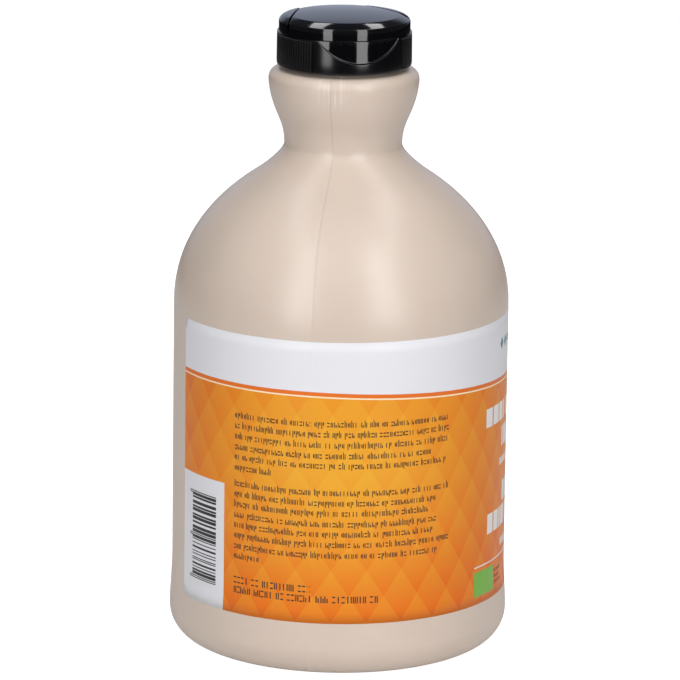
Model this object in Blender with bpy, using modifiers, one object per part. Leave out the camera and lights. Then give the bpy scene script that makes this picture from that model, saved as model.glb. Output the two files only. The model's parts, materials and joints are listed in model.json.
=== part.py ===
"""Maple syrup jug: a blow-moulded bottle with a wrap-round label and a black flip-top cap.

Everything is in metres, +Z up, with the origin at the middle of the standing ring.
An azimuth is measured round +Z from -Y, which is the side that faces the viewer, towards +X.
The jug is shut and opaque, so it is one solid, and its cap stands closed on a plain neck.
"""
import math

import bmesh
import bpy

MM = 0.001
JUG_SEGMENTS = 64
CAP_SEGMENTS = 72
MERGE_DISTANCE = 0.00001

# Pieces that touch keep this much air between their meshes.
TOUCH_GAP = 0.3 * MM

# Jug, from the floor up: standing ring, heel, label panel, shoulder, waist and neck bead.
RING_INNER_RADIUS = 36.0 * MM
PUSH_UP_EDGE = (31.0 * MM, 2.2 * MM)
PUSH_UP_HEIGHT = 3.4 * MM
HEEL_RADIUS = 51.45 * MM
HEEL_FILLET = 9.2 * MM
PANEL_BOTTOM_RADIUS = 50.75 * MM
PANEL_BOTTOM_HEIGHT = 25.0 * MM
PANEL_TOP_RADIUS = 50.6 * MM
PANEL_TOP_HEIGHT = 104.4 * MM
SHOULDER_RADIUS = 27.05 * MM
SHOULDER_HEIGHT = 143.2 * MM
SHOULDER_LEAN = 56.6
WAIST_RADIUS = 17.75 * MM
WAIST_HEIGHT = 152.7 * MM
FLARE_RADIUS = 20.1 * MM
FLARE_HEIGHT = 162.1 * MM
FLARE_LEAN = -23.4
BEAD_RADIUS = 22.6 * MM
BEAD_HEIGHT = 172.6 * MM
BEAD_ROLL = 3.0 * MM
NECK_RADIUS = 15.8 * MM
NECK_HEIGHT = 184.9 * MM

# Label: a thin sheet that starts left of the viewer and runs round the back to a narrow gap.
LABEL_START = -66.0
LABEL_SWEEP = 336.0
LABEL_BOTTOM = 17.5 * MM
LABEL_TOP = 103.2 * MM
LABEL_CORNER = 2.0 * MM
LABEL_THICKNESS = 0.3 * MM
LABEL_PROUD = 0.05 * MM
LABEL_COLUMNS = 60
LABEL_CORNER_STEPS = 3

# Cap: a ribbed skirt with two fixed side wings, and a flip lid between them.
CAP_FRONT = 15.0
CAP_BOTTOM = 176.65 * MM
SKIRT_FOOT_WIDTH = 0.5 * MM
SKIRT_FOOT_HEIGHT = 0.7 * MM
SKIRT_BOTTOM_RADIUS = 20.35 * MM
SKIRT_TOP_RADIUS = 20.15 * MM
SKIRT_ROUND = 0.25 * MM
PARTING_HEIGHT = 187.0 * MM
LID_RADIUS = 19.65 * MM
LID_WALL_TOP = 190.5 * MM
LID_RIM_RADIUS = 16.2 * MM
LID_RIM_HEIGHT = 191.77 * MM
LID_SLOPE_BEND = 0.29
LID_DOME = 0.78 * MM
GROOVE_WIDTH = 0.6 * MM
GROOVE_OFFSET = 15.0 * MM
GROOVE_TURN = 23.2

# Thumb recess under the lid's front edge: a lens-shaped scoop with a sloping ledge.
RECESS_RADIUS = 14.95 * MM
RECESS_CENTRE_HEIGHT = 194.9 * MM
RECESS_WALL_RADIUS = 21.5 * MM
RECESS_WALL_SETBACK = 2.1 * MM
RECESS_SLOPE = 0.5

# Grip: fine upright grooves round the skirt, left out of the smooth panel at the front.
GRIP_COUNT = 128
GRIP_DEPTH = 0.25 * MM
GRIP_WIDTH = 0.5 * MM
GRIP_BOTTOM = 177.25 * MM
GRIP_TOP = 186.3 * MM
SMOOTH_PANEL_HALF_ANGLE = 43.0

# Hinge at the back: a web on the lid hangs into a notch in the skirt.
HINGE_WIDTH = 12.0 * MM
HINGE_WEB_INNER = 18.9 * MM
HINGE_WEB_OUTER = 19.45 * MM
HINGE_NOTCH_DEPTH = 1.4 * MM


def clear_scene():
    """Remove whatever objects the file opened with."""
    for old in list(bpy.data.objects):
        bpy.data.objects.remove(old, do_unlink=True)


def make_collection(name):
    """Add a collection to the scene."""
    collection = bpy.data.collections.new(name)
    bpy.context.scene.collection.children.link(collection)
    return collection


def make_material(name, colour, roughness):
    """A Principled material without metal in it."""
    material = bpy.data.materials.new(name)
    material.use_nodes = True
    shader = material.node_tree.nodes["Principled BSDF"]
    shader.inputs["Base Color"].default_value = (*colour, 1.0)
    shader.inputs["Roughness"].default_value = roughness
    shader.inputs["Metallic"].default_value = 0.0
    return material


def add_object(name, mesh, collection, material=None):
    """Put a mesh into the scene as a named object."""
    thing = bpy.data.objects.new(name, mesh)
    collection.objects.link(thing)
    if material:
        mesh.materials.append(material)
    return thing


def hide_as_cutter(thing):
    """Show a cutter as wires and keep it out of renders."""
    thing.hide_render = True
    thing.display_type = "WIRE"


def arc(centre, width, height, start, end, steps):
    """Points of an elliptical arc; 0 degrees points outwards and 90 degrees points up."""
    points = []
    for step in range(steps + 1):
        angle = math.radians(start + (end - start) * step / steps)
        points.append((centre[0] + width * math.cos(angle), centre[1] + height * math.sin(angle)))
    return points


def smooth_run(top, top_lean, bottom, bottom_lean, handles, steps):
    """Points of a cubic curve down an outer wall.

    A lean is the wall's angle from upright in degrees, and it is positive where the wall
    draws in as it rises. The handles are lengths in parts of the distance between the ends.
    """
    span = math.dist(top, bottom)
    near = top[0] + handles[0] * span * math.sin(math.radians(top_lean))
    near_height = top[1] - handles[0] * span * math.cos(math.radians(top_lean))
    far = bottom[0] - handles[1] * span * math.sin(math.radians(bottom_lean))
    far_height = bottom[1] + handles[1] * span * math.cos(math.radians(bottom_lean))
    points = []
    for step in range(steps + 1):
        t = step / steps
        weights = ((1 - t) ** 3, 3 * (1 - t) ** 2 * t, 3 * (1 - t) * t ** 2, t ** 3)
        radius = sum(w * r for w, r in zip(weights, (top[0], near, far, bottom[0])))
        height = sum(w * z for w, z in zip(weights, (top[1], near_height, far_height, bottom[1])))
        points.append((radius, height))
    return points


def joined(*runs):
    """Join runs of points end to end, without repeating the point where two of them meet."""
    points = []
    for run in runs:
        for point in run:
            if not points or math.dist(point, points[-1]) > MERGE_DISTANCE:
                points.append(point)
    return points


def turned(name, profile, segments, collection, material=None):
    """A body turned round +Z from a profile that runs down its outer side from the axis."""
    mesh = bpy.data.meshes.new(name)
    edges = [(i, i + 1) for i in range(len(profile) - 1)]
    mesh.from_pydata([(radius, 0.0, height) for radius, height in profile], edges, [])
    body = add_object(name, mesh, collection, material)
    screw = body.modifiers.new("turn", "SCREW")
    screw.axis = "Z"
    screw.angle = math.tau
    screw.steps = segments
    screw.render_steps = segments
    screw.use_merge_vertices = True
    screw.merge_threshold = MERGE_DISTANCE
    screw.use_smooth_shade = True
    return body


def prism(name, outline, bottom, top, collection):
    """An upright prism on a flat outline, made from a filled 2D curve."""
    curve = bpy.data.curves.new(name, "CURVE")
    curve.dimensions = "2D"
    curve.fill_mode = "BOTH"
    curve.extrude = (top - bottom) / 2
    spline = curve.splines.new("POLY")
    spline.points.add(len(outline) - 1)
    for point, (x, y) in zip(spline.points, outline):
        point.co = (x, y, 0.0, 1.0)
    spline.use_cyclic_u = True
    source = bpy.data.objects.new(name + "_outline", curve)
    collection.objects.link(source)
    source.location = (0.0, 0.0, (bottom + top) / 2)
    bpy.context.view_layer.update()
    evaluated = source.evaluated_get(bpy.context.evaluated_depsgraph_get())
    mesh = bpy.data.meshes.new_from_object(evaluated)
    shape = bmesh.new()
    shape.from_mesh(mesh)
    bmesh.ops.remove_doubles(shape, verts=shape.verts, dist=MERGE_DISTANCE)
    shape.to_mesh(mesh)
    shape.free()
    body = add_object(name, mesh, collection)
    body.matrix_world = source.matrix_world
    bpy.data.objects.remove(source, do_unlink=True)
    return body


def combine(target, other, operation):
    """Cut, join or intersect a body with another by an exact Boolean."""
    boolean = target.modifiers.new(operation.lower() + "_" + other.name, "BOOLEAN")
    boolean.operation = operation
    boolean.object = other
    boolean.solver = "EXACT"
    hide_as_cutter(other)


def on_front(distance, sideways):
    """World x and y of a point given along and across the cap's front direction."""
    turn = math.radians(CAP_FRONT)
    x = distance * math.sin(turn) + sideways * math.cos(turn)
    y = -distance * math.cos(turn) + sideways * math.sin(turn)
    return x, y


def jug_wall():
    """The jug's outer wall, from the top of the neck bead down to the standing ring."""
    bead = (BEAD_RADIUS, BEAD_HEIGHT)
    flare = (FLARE_RADIUS, FLARE_HEIGHT)
    waist = (WAIST_RADIUS, WAIST_HEIGHT)
    shoulder = (SHOULDER_RADIUS, SHOULDER_HEIGHT)
    panel_top = (PANEL_TOP_RADIUS, PANEL_TOP_HEIGHT)
    panel_bottom = (PANEL_BOTTOM_RADIUS, PANEL_BOTTOM_HEIGHT)
    heel = (HEEL_RADIUS, HEEL_FILLET)
    ring = (HEEL_RADIUS - HEEL_FILLET, HEEL_FILLET)
    return joined(
        arc((BEAD_RADIUS - BEAD_ROLL, BEAD_HEIGHT), BEAD_ROLL, BEAD_ROLL, 90, 0, 4),
        smooth_run(bead, 0.0, flare, FLARE_LEAN, (0.32, 0.33), 4),
        smooth_run(flare, FLARE_LEAN, waist, 0.0, (0.37, 0.41), 4),
        smooth_run(waist, 0.0, shoulder, SHOULDER_LEAN, (0.18, 0.30), 6),
        smooth_run(shoulder, SHOULDER_LEAN, panel_top, 0.0, (0.34, 0.38), 9),
        [panel_bottom],
        smooth_run(panel_bottom, 0.0, heel, 0.0, (0.33, 0.33), 4),
        arc(ring, HEEL_FILLET, HEEL_FILLET, 0, -90, 6),
    )


def wall_radius(height):
    """The jug's outer radius at a height on the panel or the heel."""
    wall = jug_wall()
    for (upper_radius, upper), (lower_radius, lower) in zip(wall, wall[1:]):
        if lower <= height <= upper:
            share = (height - lower) / (upper - lower)
            return lower_radius + share * (upper_radius - lower_radius)
    raise ValueError("height is not on the wall")


def label_sheet(name, grow, lift, thickness, collection, material=None):
    """A curved sheet over the jug's panel, with round corners.

    It is grown all round by grow, its outer face stands lift off the jug's wall, and its
    thickness runs inwards from there.
    """
    corner = LABEL_CORNER + grow
    bottom = LABEL_BOTTOM - grow
    top = LABEL_TOP + grow
    around = math.radians(LABEL_SWEEP) * PANEL_TOP_RADIUS + 2 * grow
    corner_run = []
    for step in range(LABEL_CORNER_STEPS + 1):
        angle = math.pi / 2 * step / LABEL_CORNER_STEPS
        corner_run.append((corner * (1 - math.cos(angle)), corner * (1 - math.sin(angle))))
    straight = around - 2 * corner
    middle = [(corner + straight * i / LABEL_COLUMNS, 0.0) for i in range(1, LABEL_COLUMNS)]
    far_run = [(around - along, inset) for along, inset in reversed(corner_run)]
    columns = corner_run + middle + far_run

    wall_heights = [height for _, height in jug_wall()]
    between = sorted(z for z in wall_heights if bottom + corner < z < top - corner)
    heights = [bottom] + between + [top]

    shape = bmesh.new()
    grid = []
    for along, inset in columns:
        azimuth = math.radians(LABEL_START) + (along - grow) / PANEL_TOP_RADIUS
        rail = []
        for height in heights:
            z = min(max(height, bottom + inset), top - inset)
            radius = wall_radius(z) + lift
            rail.append(shape.verts.new((radius * math.sin(azimuth), -radius * math.cos(azimuth), z)))
        grid.append(rail)
    for left, right in zip(grid, grid[1:]):
        for row in range(len(heights) - 1):
            shape.faces.new((left[row], right[row], right[row + 1], left[row + 1]))
    mesh = bpy.data.meshes.new(name)
    shape.to_mesh(mesh)
    shape.free()
    mesh.shade_smooth()
    sheet = add_object(name, mesh, collection, material)
    solidify = sheet.modifiers.new("thickness", "SOLIDIFY")
    solidify.thickness = thickness
    solidify.offset = -1.0
    return sheet


def make_jug(parts, cutters, material):
    """The bottle, with a pocket in its panel that the label lies in."""
    neck = [(0.0, NECK_HEIGHT), (NECK_RADIUS, NECK_HEIGHT), (NECK_RADIUS, BEAD_HEIGHT + BEAD_ROLL)]
    underside = [(RING_INNER_RADIUS, 0.0), PUSH_UP_EDGE, (0.0, PUSH_UP_HEIGHT)]
    jug = turned("jug", joined(neck, jug_wall(), underside), JUG_SEGMENTS, parts, material)
    clear_of_wall = 1.0 * MM
    pocket_depth = LABEL_THICKNESS - LABEL_PROUD + TOUCH_GAP
    pocket = label_sheet("label_pocket", TOUCH_GAP, clear_of_wall, clear_of_wall + pocket_depth, cutters)
    combine(jug, pocket, "DIFFERENCE")
    return jug


def make_label(parts, material):
    """The printed sheet round the panel."""
    return label_sheet("label", 0.0, LABEL_PROUD, LABEL_THICKNESS, parts, material)


def crown(bottom):
    """The cap's top from the axis outwards: a low dome, a slope that steepens, and a wall."""
    dome = []
    for share in (0.0, 0.5, 1.0):
        dome.append((LID_RIM_RADIUS * share, LID_RIM_HEIGHT + LID_DOME * (1 - share ** 2)))
    slope = []
    for share in (0.25, 0.5, 0.75, 1.0):
        radius = LID_RIM_RADIUS + share * (LID_RADIUS - LID_RIM_RADIUS)
        drop = share * (1 - LID_SLOPE_BEND) + share ** 2 * LID_SLOPE_BEND
        slope.append((radius, LID_RIM_HEIGHT - drop * (LID_RIM_HEIGHT - LID_WALL_TOP)))
    return joined(dome, slope, [(LID_RADIUS, bottom)])


def groove_outline(gap):
    """Plan of the slot between the two side wings, with its sides moved out by gap."""
    turn = math.radians(GROOVE_TURN)
    reach = 1.3 * SKIRT_BOTTOM_RADIUS
    corners = []
    for side, distance in ((-1, reach), (1, reach), (1, -reach), (-1, -reach)):
        sideways = (GROOVE_OFFSET + gap + distance * math.sin(turn)) / math.cos(turn)
        corners.append(on_front(distance, side * sideways))
    return corners


def make_thumb_cutter(cutters):
    """A cone on the cap's front direction that stops at the recess's back wall.

    The back wall is flatter than the skirt, so the recess is shallower towards its ends.
    """
    inner = RECESS_WALL_RADIUS - 4.0 * MM
    outer = SKIRT_BOTTOM_RADIUS + 4.0 * MM
    middle_x, middle_y = on_front((inner + outer) / 2, 0.0)
    bpy.ops.mesh.primitive_cone_add(
        vertices=96,
        radius1=RECESS_RADIUS - RECESS_SLOPE * (SKIRT_BOTTOM_RADIUS - inner),
        radius2=RECESS_RADIUS + RECESS_SLOPE * (outer - SKIRT_BOTTOM_RADIUS),
        depth=outer - inner,
        location=(middle_x, middle_y, RECESS_CENTRE_HEIGHT),
        rotation=(math.pi / 2, 0.0, math.radians(CAP_FRONT)),
    )
    cone = bpy.context.object
    cone.name = "thumb_recess"
    move_to(cone, cutters)
    wall_x, wall_y = on_front(-RECESS_WALL_SETBACK, 0.0)
    bpy.ops.mesh.primitive_cylinder_add(
        vertices=CAP_SEGMENTS,
        radius=RECESS_WALL_RADIUS,
        depth=60.0 * MM,
        location=(wall_x, wall_y, RECESS_CENTRE_HEIGHT),
    )
    core = bpy.context.object
    core.name = "recess_back_wall"
    move_to(core, cutters)
    combine(cone, core, "DIFFERENCE")
    return cone


def move_to(thing, collection):
    """Move an object that an operator made into a collection."""
    for holder in list(thing.users_collection):
        holder.objects.unlink(thing)
    collection.objects.link(thing)


def make_grip_cutter(cutters):
    """Every groove of the grip as one mesh of three-sided wedges that point inwards."""
    shape = bmesh.new()
    root = SKIRT_TOP_RADIUS - GRIP_DEPTH
    mouth = SKIRT_BOTTOM_RADIUS + GRIP_DEPTH
    half_mouth = GRIP_WIDTH / 2 * (mouth - root) / GRIP_DEPTH / mouth
    for groove in range(GRIP_COUNT):
        from_front = 360.0 * (groove + 0.5) / GRIP_COUNT
        if min(from_front, 360.0 - from_front) < SMOOTH_PANEL_HALF_ANGLE:
            continue
        azimuth = math.radians(CAP_FRONT + from_front)
        ends = []
        for height in (GRIP_BOTTOM, GRIP_TOP):
            corners = []
            for radius, turn in ((root, 0.0), (mouth, half_mouth), (mouth, -half_mouth)):
                x = radius * math.sin(azimuth + turn)
                y = -radius * math.cos(azimuth + turn)
                corners.append(shape.verts.new((x, y, height)))
            ends.append(corners)
        low, high = ends
        shape.faces.new(reversed(low))
        shape.faces.new(high)
        for a, b in ((0, 1), (1, 2), (2, 0)):
            shape.faces.new((low[a], low[b], high[b], high[a]))
    bmesh.ops.recalc_face_normals(shape, faces=shape.faces)
    mesh = bpy.data.meshes.new("grip_grooves")
    shape.to_mesh(mesh)
    shape.free()
    return add_object("grip_grooves", mesh, cutters)


def hinge_block(name, width, inner, outer, bottom, top, cutters):
    """A box across the back of the cap."""
    half = width / 2
    corners = ((-inner, -half), (-inner, half), (-outer, half), (-outer, -half))
    outline = [on_front(distance, sideways) for distance, sideways in corners]
    return prism(name, outline, bottom, top, cutters)


def make_cap_base(parts, cutters, material):
    """The skirt with its deck and the two fixed side wings."""
    deck = PARTING_HEIGHT - TOUCH_GAP / 2
    bore_radius = NECK_RADIUS + TOUCH_GAP
    bore_top = NECK_HEIGHT + TOUCH_GAP
    skirt_top = deck - SKIRT_ROUND
    skirt = [(SKIRT_TOP_RADIUS - SKIRT_ROUND, deck), (SKIRT_TOP_RADIUS, skirt_top)]
    foot_centre = (SKIRT_BOTTOM_RADIUS - SKIRT_FOOT_WIDTH, CAP_BOTTOM + SKIRT_FOOT_HEIGHT)
    foot = arc(foot_centre, SKIRT_FOOT_WIDTH, SKIRT_FOOT_HEIGHT, 0, -90, 4)
    bore = [(bore_radius, CAP_BOTTOM), (bore_radius, bore_top), (0.0, bore_top)]
    profile = joined(crown(deck), skirt, foot, bore)
    base = turned("cap_base", profile, CAP_SEGMENTS, parts, material)
    above = LID_WALL_TOP + 10.0 * MM
    slot = prism("lid_slot", groove_outline(GROOVE_WIDTH / 2), deck, above, cutters)
    combine(base, slot, "DIFFERENCE")
    combine(base, make_thumb_cutter(cutters), "DIFFERENCE")
    notch = hinge_block(
        "hinge_notch",
        HINGE_WIDTH + 2 * TOUCH_GAP,
        HINGE_WEB_INNER - TOUCH_GAP,
        SKIRT_BOTTOM_RADIUS + 2.0 * MM,
        deck - HINGE_NOTCH_DEPTH,
        above,
        cutters,
    )
    combine(base, notch, "DIFFERENCE")
    combine(base, make_grip_cutter(cutters), "DIFFERENCE")
    return base


def make_cap_lid(parts, cutters, material):
    """The flip lid, cut to the slot between the wings, with the hinge web at its back."""
    underside = PARTING_HEIGHT + TOUCH_GAP / 2
    profile = joined(crown(underside), [(0.0, underside)])
    lid = turned("cap_lid", profile, CAP_SEGMENTS, parts, material)
    above = LID_WALL_TOP + 10.0 * MM
    below = underside - 5.0 * MM
    plan = prism("lid_plan", groove_outline(-GROOVE_WIDTH / 2), below, above, cutters)
    combine(lid, plan, "INTERSECT")
    web = hinge_block(
        "hinge_web",
        HINGE_WIDTH,
        HINGE_WEB_INNER,
        HINGE_WEB_OUTER,
        PARTING_HEIGHT - TOUCH_GAP / 2 - HINGE_NOTCH_DEPTH + TOUCH_GAP,
        underside + 1.0 * MM,
        cutters,
    )
    combine(lid, web, "UNION")
    return lid


def main():
    clear_scene()
    parts = make_collection("maple_syrup_jug")
    cutters = make_collection("cutters")
    make_jug(parts, cutters, make_material("jug_plastic", (0.63, 0.53, 0.45), 0.34))
    make_label(parts, make_material("label_film", (0.86, 0.34, 0.04), 0.38))
    cap_plastic = make_material("cap_plastic", (0.012, 0.012, 0.014), 0.18)
    make_cap_base(parts, cutters, cap_plastic)
    make_cap_lid(parts, cutters, cap_plastic)


main()
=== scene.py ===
# %% [markdown]
# # A syrup jug with a flip-top cap
# The object is a blow-moulded jug of taupe plastic, with a printed film round its body and a
# black flip-top cap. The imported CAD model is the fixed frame, and this script dresses it.
# It is written in cells. Each one says what a piece is on the real object, how it could be
# made, and why it is made this way, and then it makes the piece.

import json
import math
import random

import bmesh
import bpy
from mathutils import Matrix, Vector

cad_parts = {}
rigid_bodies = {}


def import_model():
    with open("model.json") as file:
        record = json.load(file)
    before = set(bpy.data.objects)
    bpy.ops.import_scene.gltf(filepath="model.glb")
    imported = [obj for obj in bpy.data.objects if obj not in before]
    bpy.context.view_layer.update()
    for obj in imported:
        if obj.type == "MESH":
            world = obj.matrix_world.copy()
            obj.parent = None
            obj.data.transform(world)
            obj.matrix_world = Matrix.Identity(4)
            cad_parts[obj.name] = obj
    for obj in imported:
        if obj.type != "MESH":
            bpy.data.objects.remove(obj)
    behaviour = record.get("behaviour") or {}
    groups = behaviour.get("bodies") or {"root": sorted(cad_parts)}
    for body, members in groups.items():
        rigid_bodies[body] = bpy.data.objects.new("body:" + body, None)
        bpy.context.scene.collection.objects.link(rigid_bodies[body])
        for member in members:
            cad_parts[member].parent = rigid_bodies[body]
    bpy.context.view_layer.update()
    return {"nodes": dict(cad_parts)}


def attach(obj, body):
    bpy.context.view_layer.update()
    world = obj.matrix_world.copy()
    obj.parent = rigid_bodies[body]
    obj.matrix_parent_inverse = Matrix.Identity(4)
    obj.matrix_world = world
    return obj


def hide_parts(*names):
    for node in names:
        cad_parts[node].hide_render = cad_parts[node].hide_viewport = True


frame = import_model()
MM = 0.001
print("CAD nodes:", sorted(frame["nodes"]))

# %% [markdown]
# ## Camera
# A long lens looks down a little at the jug. Its distance, height and dip were fitted to the
# jug's outline, so the CAD frame lands on the photographed outline without any adjustment.
# A camera looks along its own -Z, so it is tipped up by a right angle less the dip, and the
# small roll about its own axis comes first in the product because it is applied last.

# %% Make the camera
FRAME_SIDE = 680
FOCAL_PIXELS = 4999.0
SENSOR_WIDTH = 36.0
CAMERA_PLACE = (-0.2 * MM, -1470.3 * MM, 453.1 * MM)
CAMERA_DIP = math.radians(13.81)
CAMERA_ROLL = math.radians(0.73)

scene = bpy.context.scene
camera_data = bpy.data.cameras.new("camera")
camera_data.lens = FOCAL_PIXELS / FRAME_SIDE * SENSOR_WIDTH
camera_data.sensor_width = SENSOR_WIDTH
camera = bpy.data.objects.new("camera", camera_data)
scene.collection.objects.link(camera)
tip = Matrix.Rotation(math.pi / 2 - CAMERA_DIP, 4, "X")
roll = Matrix.Rotation(CAMERA_ROLL, 4, "Z")
camera.matrix_world = Matrix.Translation(CAMERA_PLACE) @ tip @ roll
scene.camera = camera
print("lens of", round(camera_data.lens, 1), "mm")

# %% [markdown]
# ## Helpers for node trees
# Geometry Nodes and shader trees are built from the same few steps: add a node, set its
# options, and give each input a value or a wire. Two small helpers keep those steps short,
# and the nodes that formulas need many of, such as Math and Noise, get one of their own.


# %% Helpers for node trees
def add_node(tree, kind, inputs=None, **options):
    """Add a node, set its options, and set or wire its inputs."""
    node = tree.nodes.new(kind)
    for option, value in options.items():
        setattr(node, option, value)
    for key, value in (inputs or {}).items():
        if isinstance(value, bpy.types.NodeSocket):
            tree.links.new(value, node.inputs[key])
        else:
            node.inputs[key].default_value = value
    return node


def calc(tree, operation, *values, clamp=False):
    """One Math node; returns its output."""
    inputs = dict(enumerate(values))
    return add_node(tree, "ShaderNodeMath", inputs, operation=operation, use_clamp=clamp).outputs[0]


def remap(tree, value, low, high, new_low, new_high, kind="LINEAR"):
    """One Map Range node; returns its output."""
    inputs = {0: value, 1: low, 2: high, 3: new_low, 4: new_high}
    return add_node(tree, "ShaderNodeMapRange", inputs, interpolation_type=kind).outputs[0]


def noise(tree, place, scale, detail, roughness=0.5):
    """One Noise Texture node; returns its value."""
    inputs = {"Vector": place, "Scale": scale, "Detail": detail, "Roughness": roughness}
    return add_node(tree, "ShaderNodeTexNoise", inputs).outputs[0]


def bell(tree, away):
    """A bell curve: 1 where the value is 0, and next to nothing beyond 2 on either side."""
    square = calc(tree, "MULTIPLY", away, away)
    return calc(tree, "EXPONENT", calc(tree, "MULTIPLY", square, -1.0))


def parts_of(tree, vector):
    """The x, y and z of a vector."""
    return add_node(tree, "ShaderNodeSeparateXYZ", {0: vector}).outputs


def vector_of(tree, x, y, z):
    """A vector from its x, y and z."""
    return add_node(tree, "ShaderNodeCombineXYZ", {0: x, 1: y, 2: z}).outputs[0]


def new_group(name, kind, inputs, outputs):
    """An empty node group with named inputs and outputs; returns it and its two end nodes."""
    group = bpy.data.node_groups.new(name, kind)
    for label, socket_type, default in inputs:
        socket = group.interface.new_socket(name=label, in_out="INPUT", socket_type=socket_type)
        if default is not None:
            socket.default_value = default
    for label, socket_type in outputs:
        group.interface.new_socket(name=label, in_out="OUTPUT", socket_type=socket_type)
    start = group.nodes.new("NodeGroupInput")
    end = group.nodes.new("NodeGroupOutput")
    return group, start.outputs, end.inputs


def use_group(tree, group, inputs=None):
    """Place a node group in a tree of its own kind, and set its inputs; returns its outputs."""
    kind = tree.bl_idname.replace("Tree", "Group")
    return add_node(tree, kind, inputs, node_tree=group).outputs


# %% [markdown]
# ## Helpers for pieces
# A geometry tree that makes a piece takes geometry in and gives geometry out, as a modifier
# wants it, and it ends by making its instances real and setting the material. The tree is
# run once on an empty object, and what it makes is kept as a plain mesh.


# %% Helpers for pieces
def new_piece_tree(name, inputs):
    """A geometry tree for a piece, with the named inputs and a material."""
    geometry = ("Geometry", "NodeSocketGeometry", None)
    material = ("Material", "NodeSocketMaterial", None)
    return new_group(name, "GeometryNodeTree", [geometry, *inputs, material], [geometry[:2]])


def finish_tree(tree, geometry, material, end):
    """Close a geometry tree with Realize Instances and Set Material."""
    real = add_node(tree, "GeometryNodeRealizeInstances", {"Geometry": geometry})
    inputs = {"Geometry": real.outputs[0], "Material": material}
    painted = add_node(tree, "GeometryNodeSetMaterial", inputs)
    tree.links.new(painted.outputs[0], end["Geometry"])


def place_piece(name, mesh):
    """Put a finished mesh in the scene as an object at the origin, and say how large it is."""
    mesh.name = name
    piece = bpy.data.objects.new(name, mesh)
    scene.collection.objects.link(piece)
    shape = bmesh.new()
    shape.from_mesh(mesh)
    volume = shape.calc_volume(signed=True) / MM ** 3
    open_edges = sum(1 for edge in shape.edges if len(edge.link_faces) != 2)
    shape.free()
    mesh.calc_loop_triangles()
    triangles = len(mesh.loop_triangles)
    print(name, triangles, "triangles,", round(volume, 2), "mm3,", open_edges, "open edges")
    return piece


def grow_piece(name, tree, values):
    """Run a geometry tree on an empty object, and keep what it makes as a plain mesh piece."""
    host = bpy.data.objects.new(name + "_host", bpy.data.meshes.new(name + "_host"))
    scene.collection.objects.link(host)
    modifier = host.modifiers.new("nodes", "NODES")
    modifier.node_group = tree
    for item in tree.interface.items_tree:
        if item.item_type == "SOCKET" and item.in_out == "INPUT" and item.name in values:
            modifier[item.identifier] = values[item.name]
    depsgraph = bpy.context.evaluated_depsgraph_get()
    grown = host.evaluated_get(depsgraph)
    mesh = bpy.data.meshes.new_from_object(grown, preserve_all_data_layers=True, depsgraph=depsgraph)
    host.modifiers.remove(modifier)
    bpy.data.objects.remove(host, do_unlink=True)
    return place_piece(name, mesh)


def point_list(name, points):
    """A hidden mesh of loose points that a geometry tree reads its lists from."""
    mesh = bpy.data.meshes.new(name)
    mesh.from_pydata([tuple(point) for point in points], [], [])
    return bpy.data.objects.new(name, mesh)


# %% [markdown]
# ## Shared finish: moulded skin
# Blow-moulded and injection-moulded plastic is never quite even. Its skin has a very fine
# grain, its gloss changes softly from place to place, and handling leaves faint rubbed spots.
# The jug and both parts of the cap need that, so it is one shader group that puts out a
# height, a gloss change and a mottle, and each material sets its own sizes.

# %% Shader group for moulded plastic
RUB_EDGE = (0.58, 0.72)

skin, skin_in, skin_out = new_group(
    "moulded_skin",
    "ShaderNodeTree",
    [
        ("Grain per metre", "NodeSocketFloat", 1500.0),
        ("Cloud per metre", "NodeSocketFloat", 60.0),
        ("Rub per metre", "NodeSocketFloat", 220.0),
    ],
    [("Height", "NodeSocketFloat"), ("Gloss change", "NodeSocketFloat"), ("Rubbed", "NodeSocketFloat")],
)
skin_place = add_node(skin, "ShaderNodeTexCoord").outputs["Object"]
grain = noise(skin, skin_place, skin_in["Grain per metre"], 3.0, 0.6)
cloud = noise(skin, skin_place, skin_in["Cloud per metre"], 2.0)
rub = noise(skin, skin_place, skin_in["Rub per metre"], 4.0, 0.7)
cloud_change = calc(skin, "SUBTRACT", cloud, 0.5)
rubbed = remap(skin, rub, *RUB_EDGE, 0.0, 1.0, "SMOOTHSTEP")
skin.links.new(grain, skin_out["Height"])
skin.links.new(cloud_change, skin_out["Gloss change"])
skin.links.new(rubbed, skin_out["Rubbed"])
print("moulded_skin has", len(skin.nodes), "nodes")

# %% [markdown]
# ## Helper for materials
# Every material starts from a Principled shader. A value that is the same all over the
# surface goes straight on the shader's socket, and only what changes over the surface is wired.


# %% Helper for materials
def plain_material(name, colour, roughness, **extra):
    """A Principled material; returns it, its tree and its shader node."""
    material = bpy.data.materials.new(name)
    material.use_nodes = True
    tree = material.node_tree
    shader = tree.nodes["Principled BSDF"]
    shader.inputs["Base Color"].default_value = (*colour, 1.0)
    shader.inputs["Roughness"].default_value = roughness
    for label, value in extra.items():
        shader.inputs[label.replace("_", " ")].default_value = value
    return material, tree, shader


def skin_of(tree, grain, cloud, rub):
    """The moulded skin group with its own sizes; returns its outputs."""
    sizes = {"Grain per metre": grain, "Cloud per metre": cloud, "Rub per metre": rub}
    return use_group(tree, skin, sizes)


def mix_colour(tree, share, first, second):
    """Blend two colours; returns the output."""
    inputs = {0: share}
    for index, colour in ((6, first), (7, second)):
        wired = isinstance(colour, bpy.types.NodeSocket)
        inputs[index] = colour if wired else (*colour, 1.0)
    return add_node(tree, "ShaderNodeMix", inputs, data_type="RGBA").outputs[2]


def add_bump(tree, shader, height, distance):
    """Feed a height to the shader's normal; the distance is in metres."""
    bump = add_node(tree, "ShaderNodeBump", {"Height": height, "Distance": distance, "Strength": 1.0})
    tree.links.new(bump.outputs["Normal"], shader.inputs["Normal"])


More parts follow.
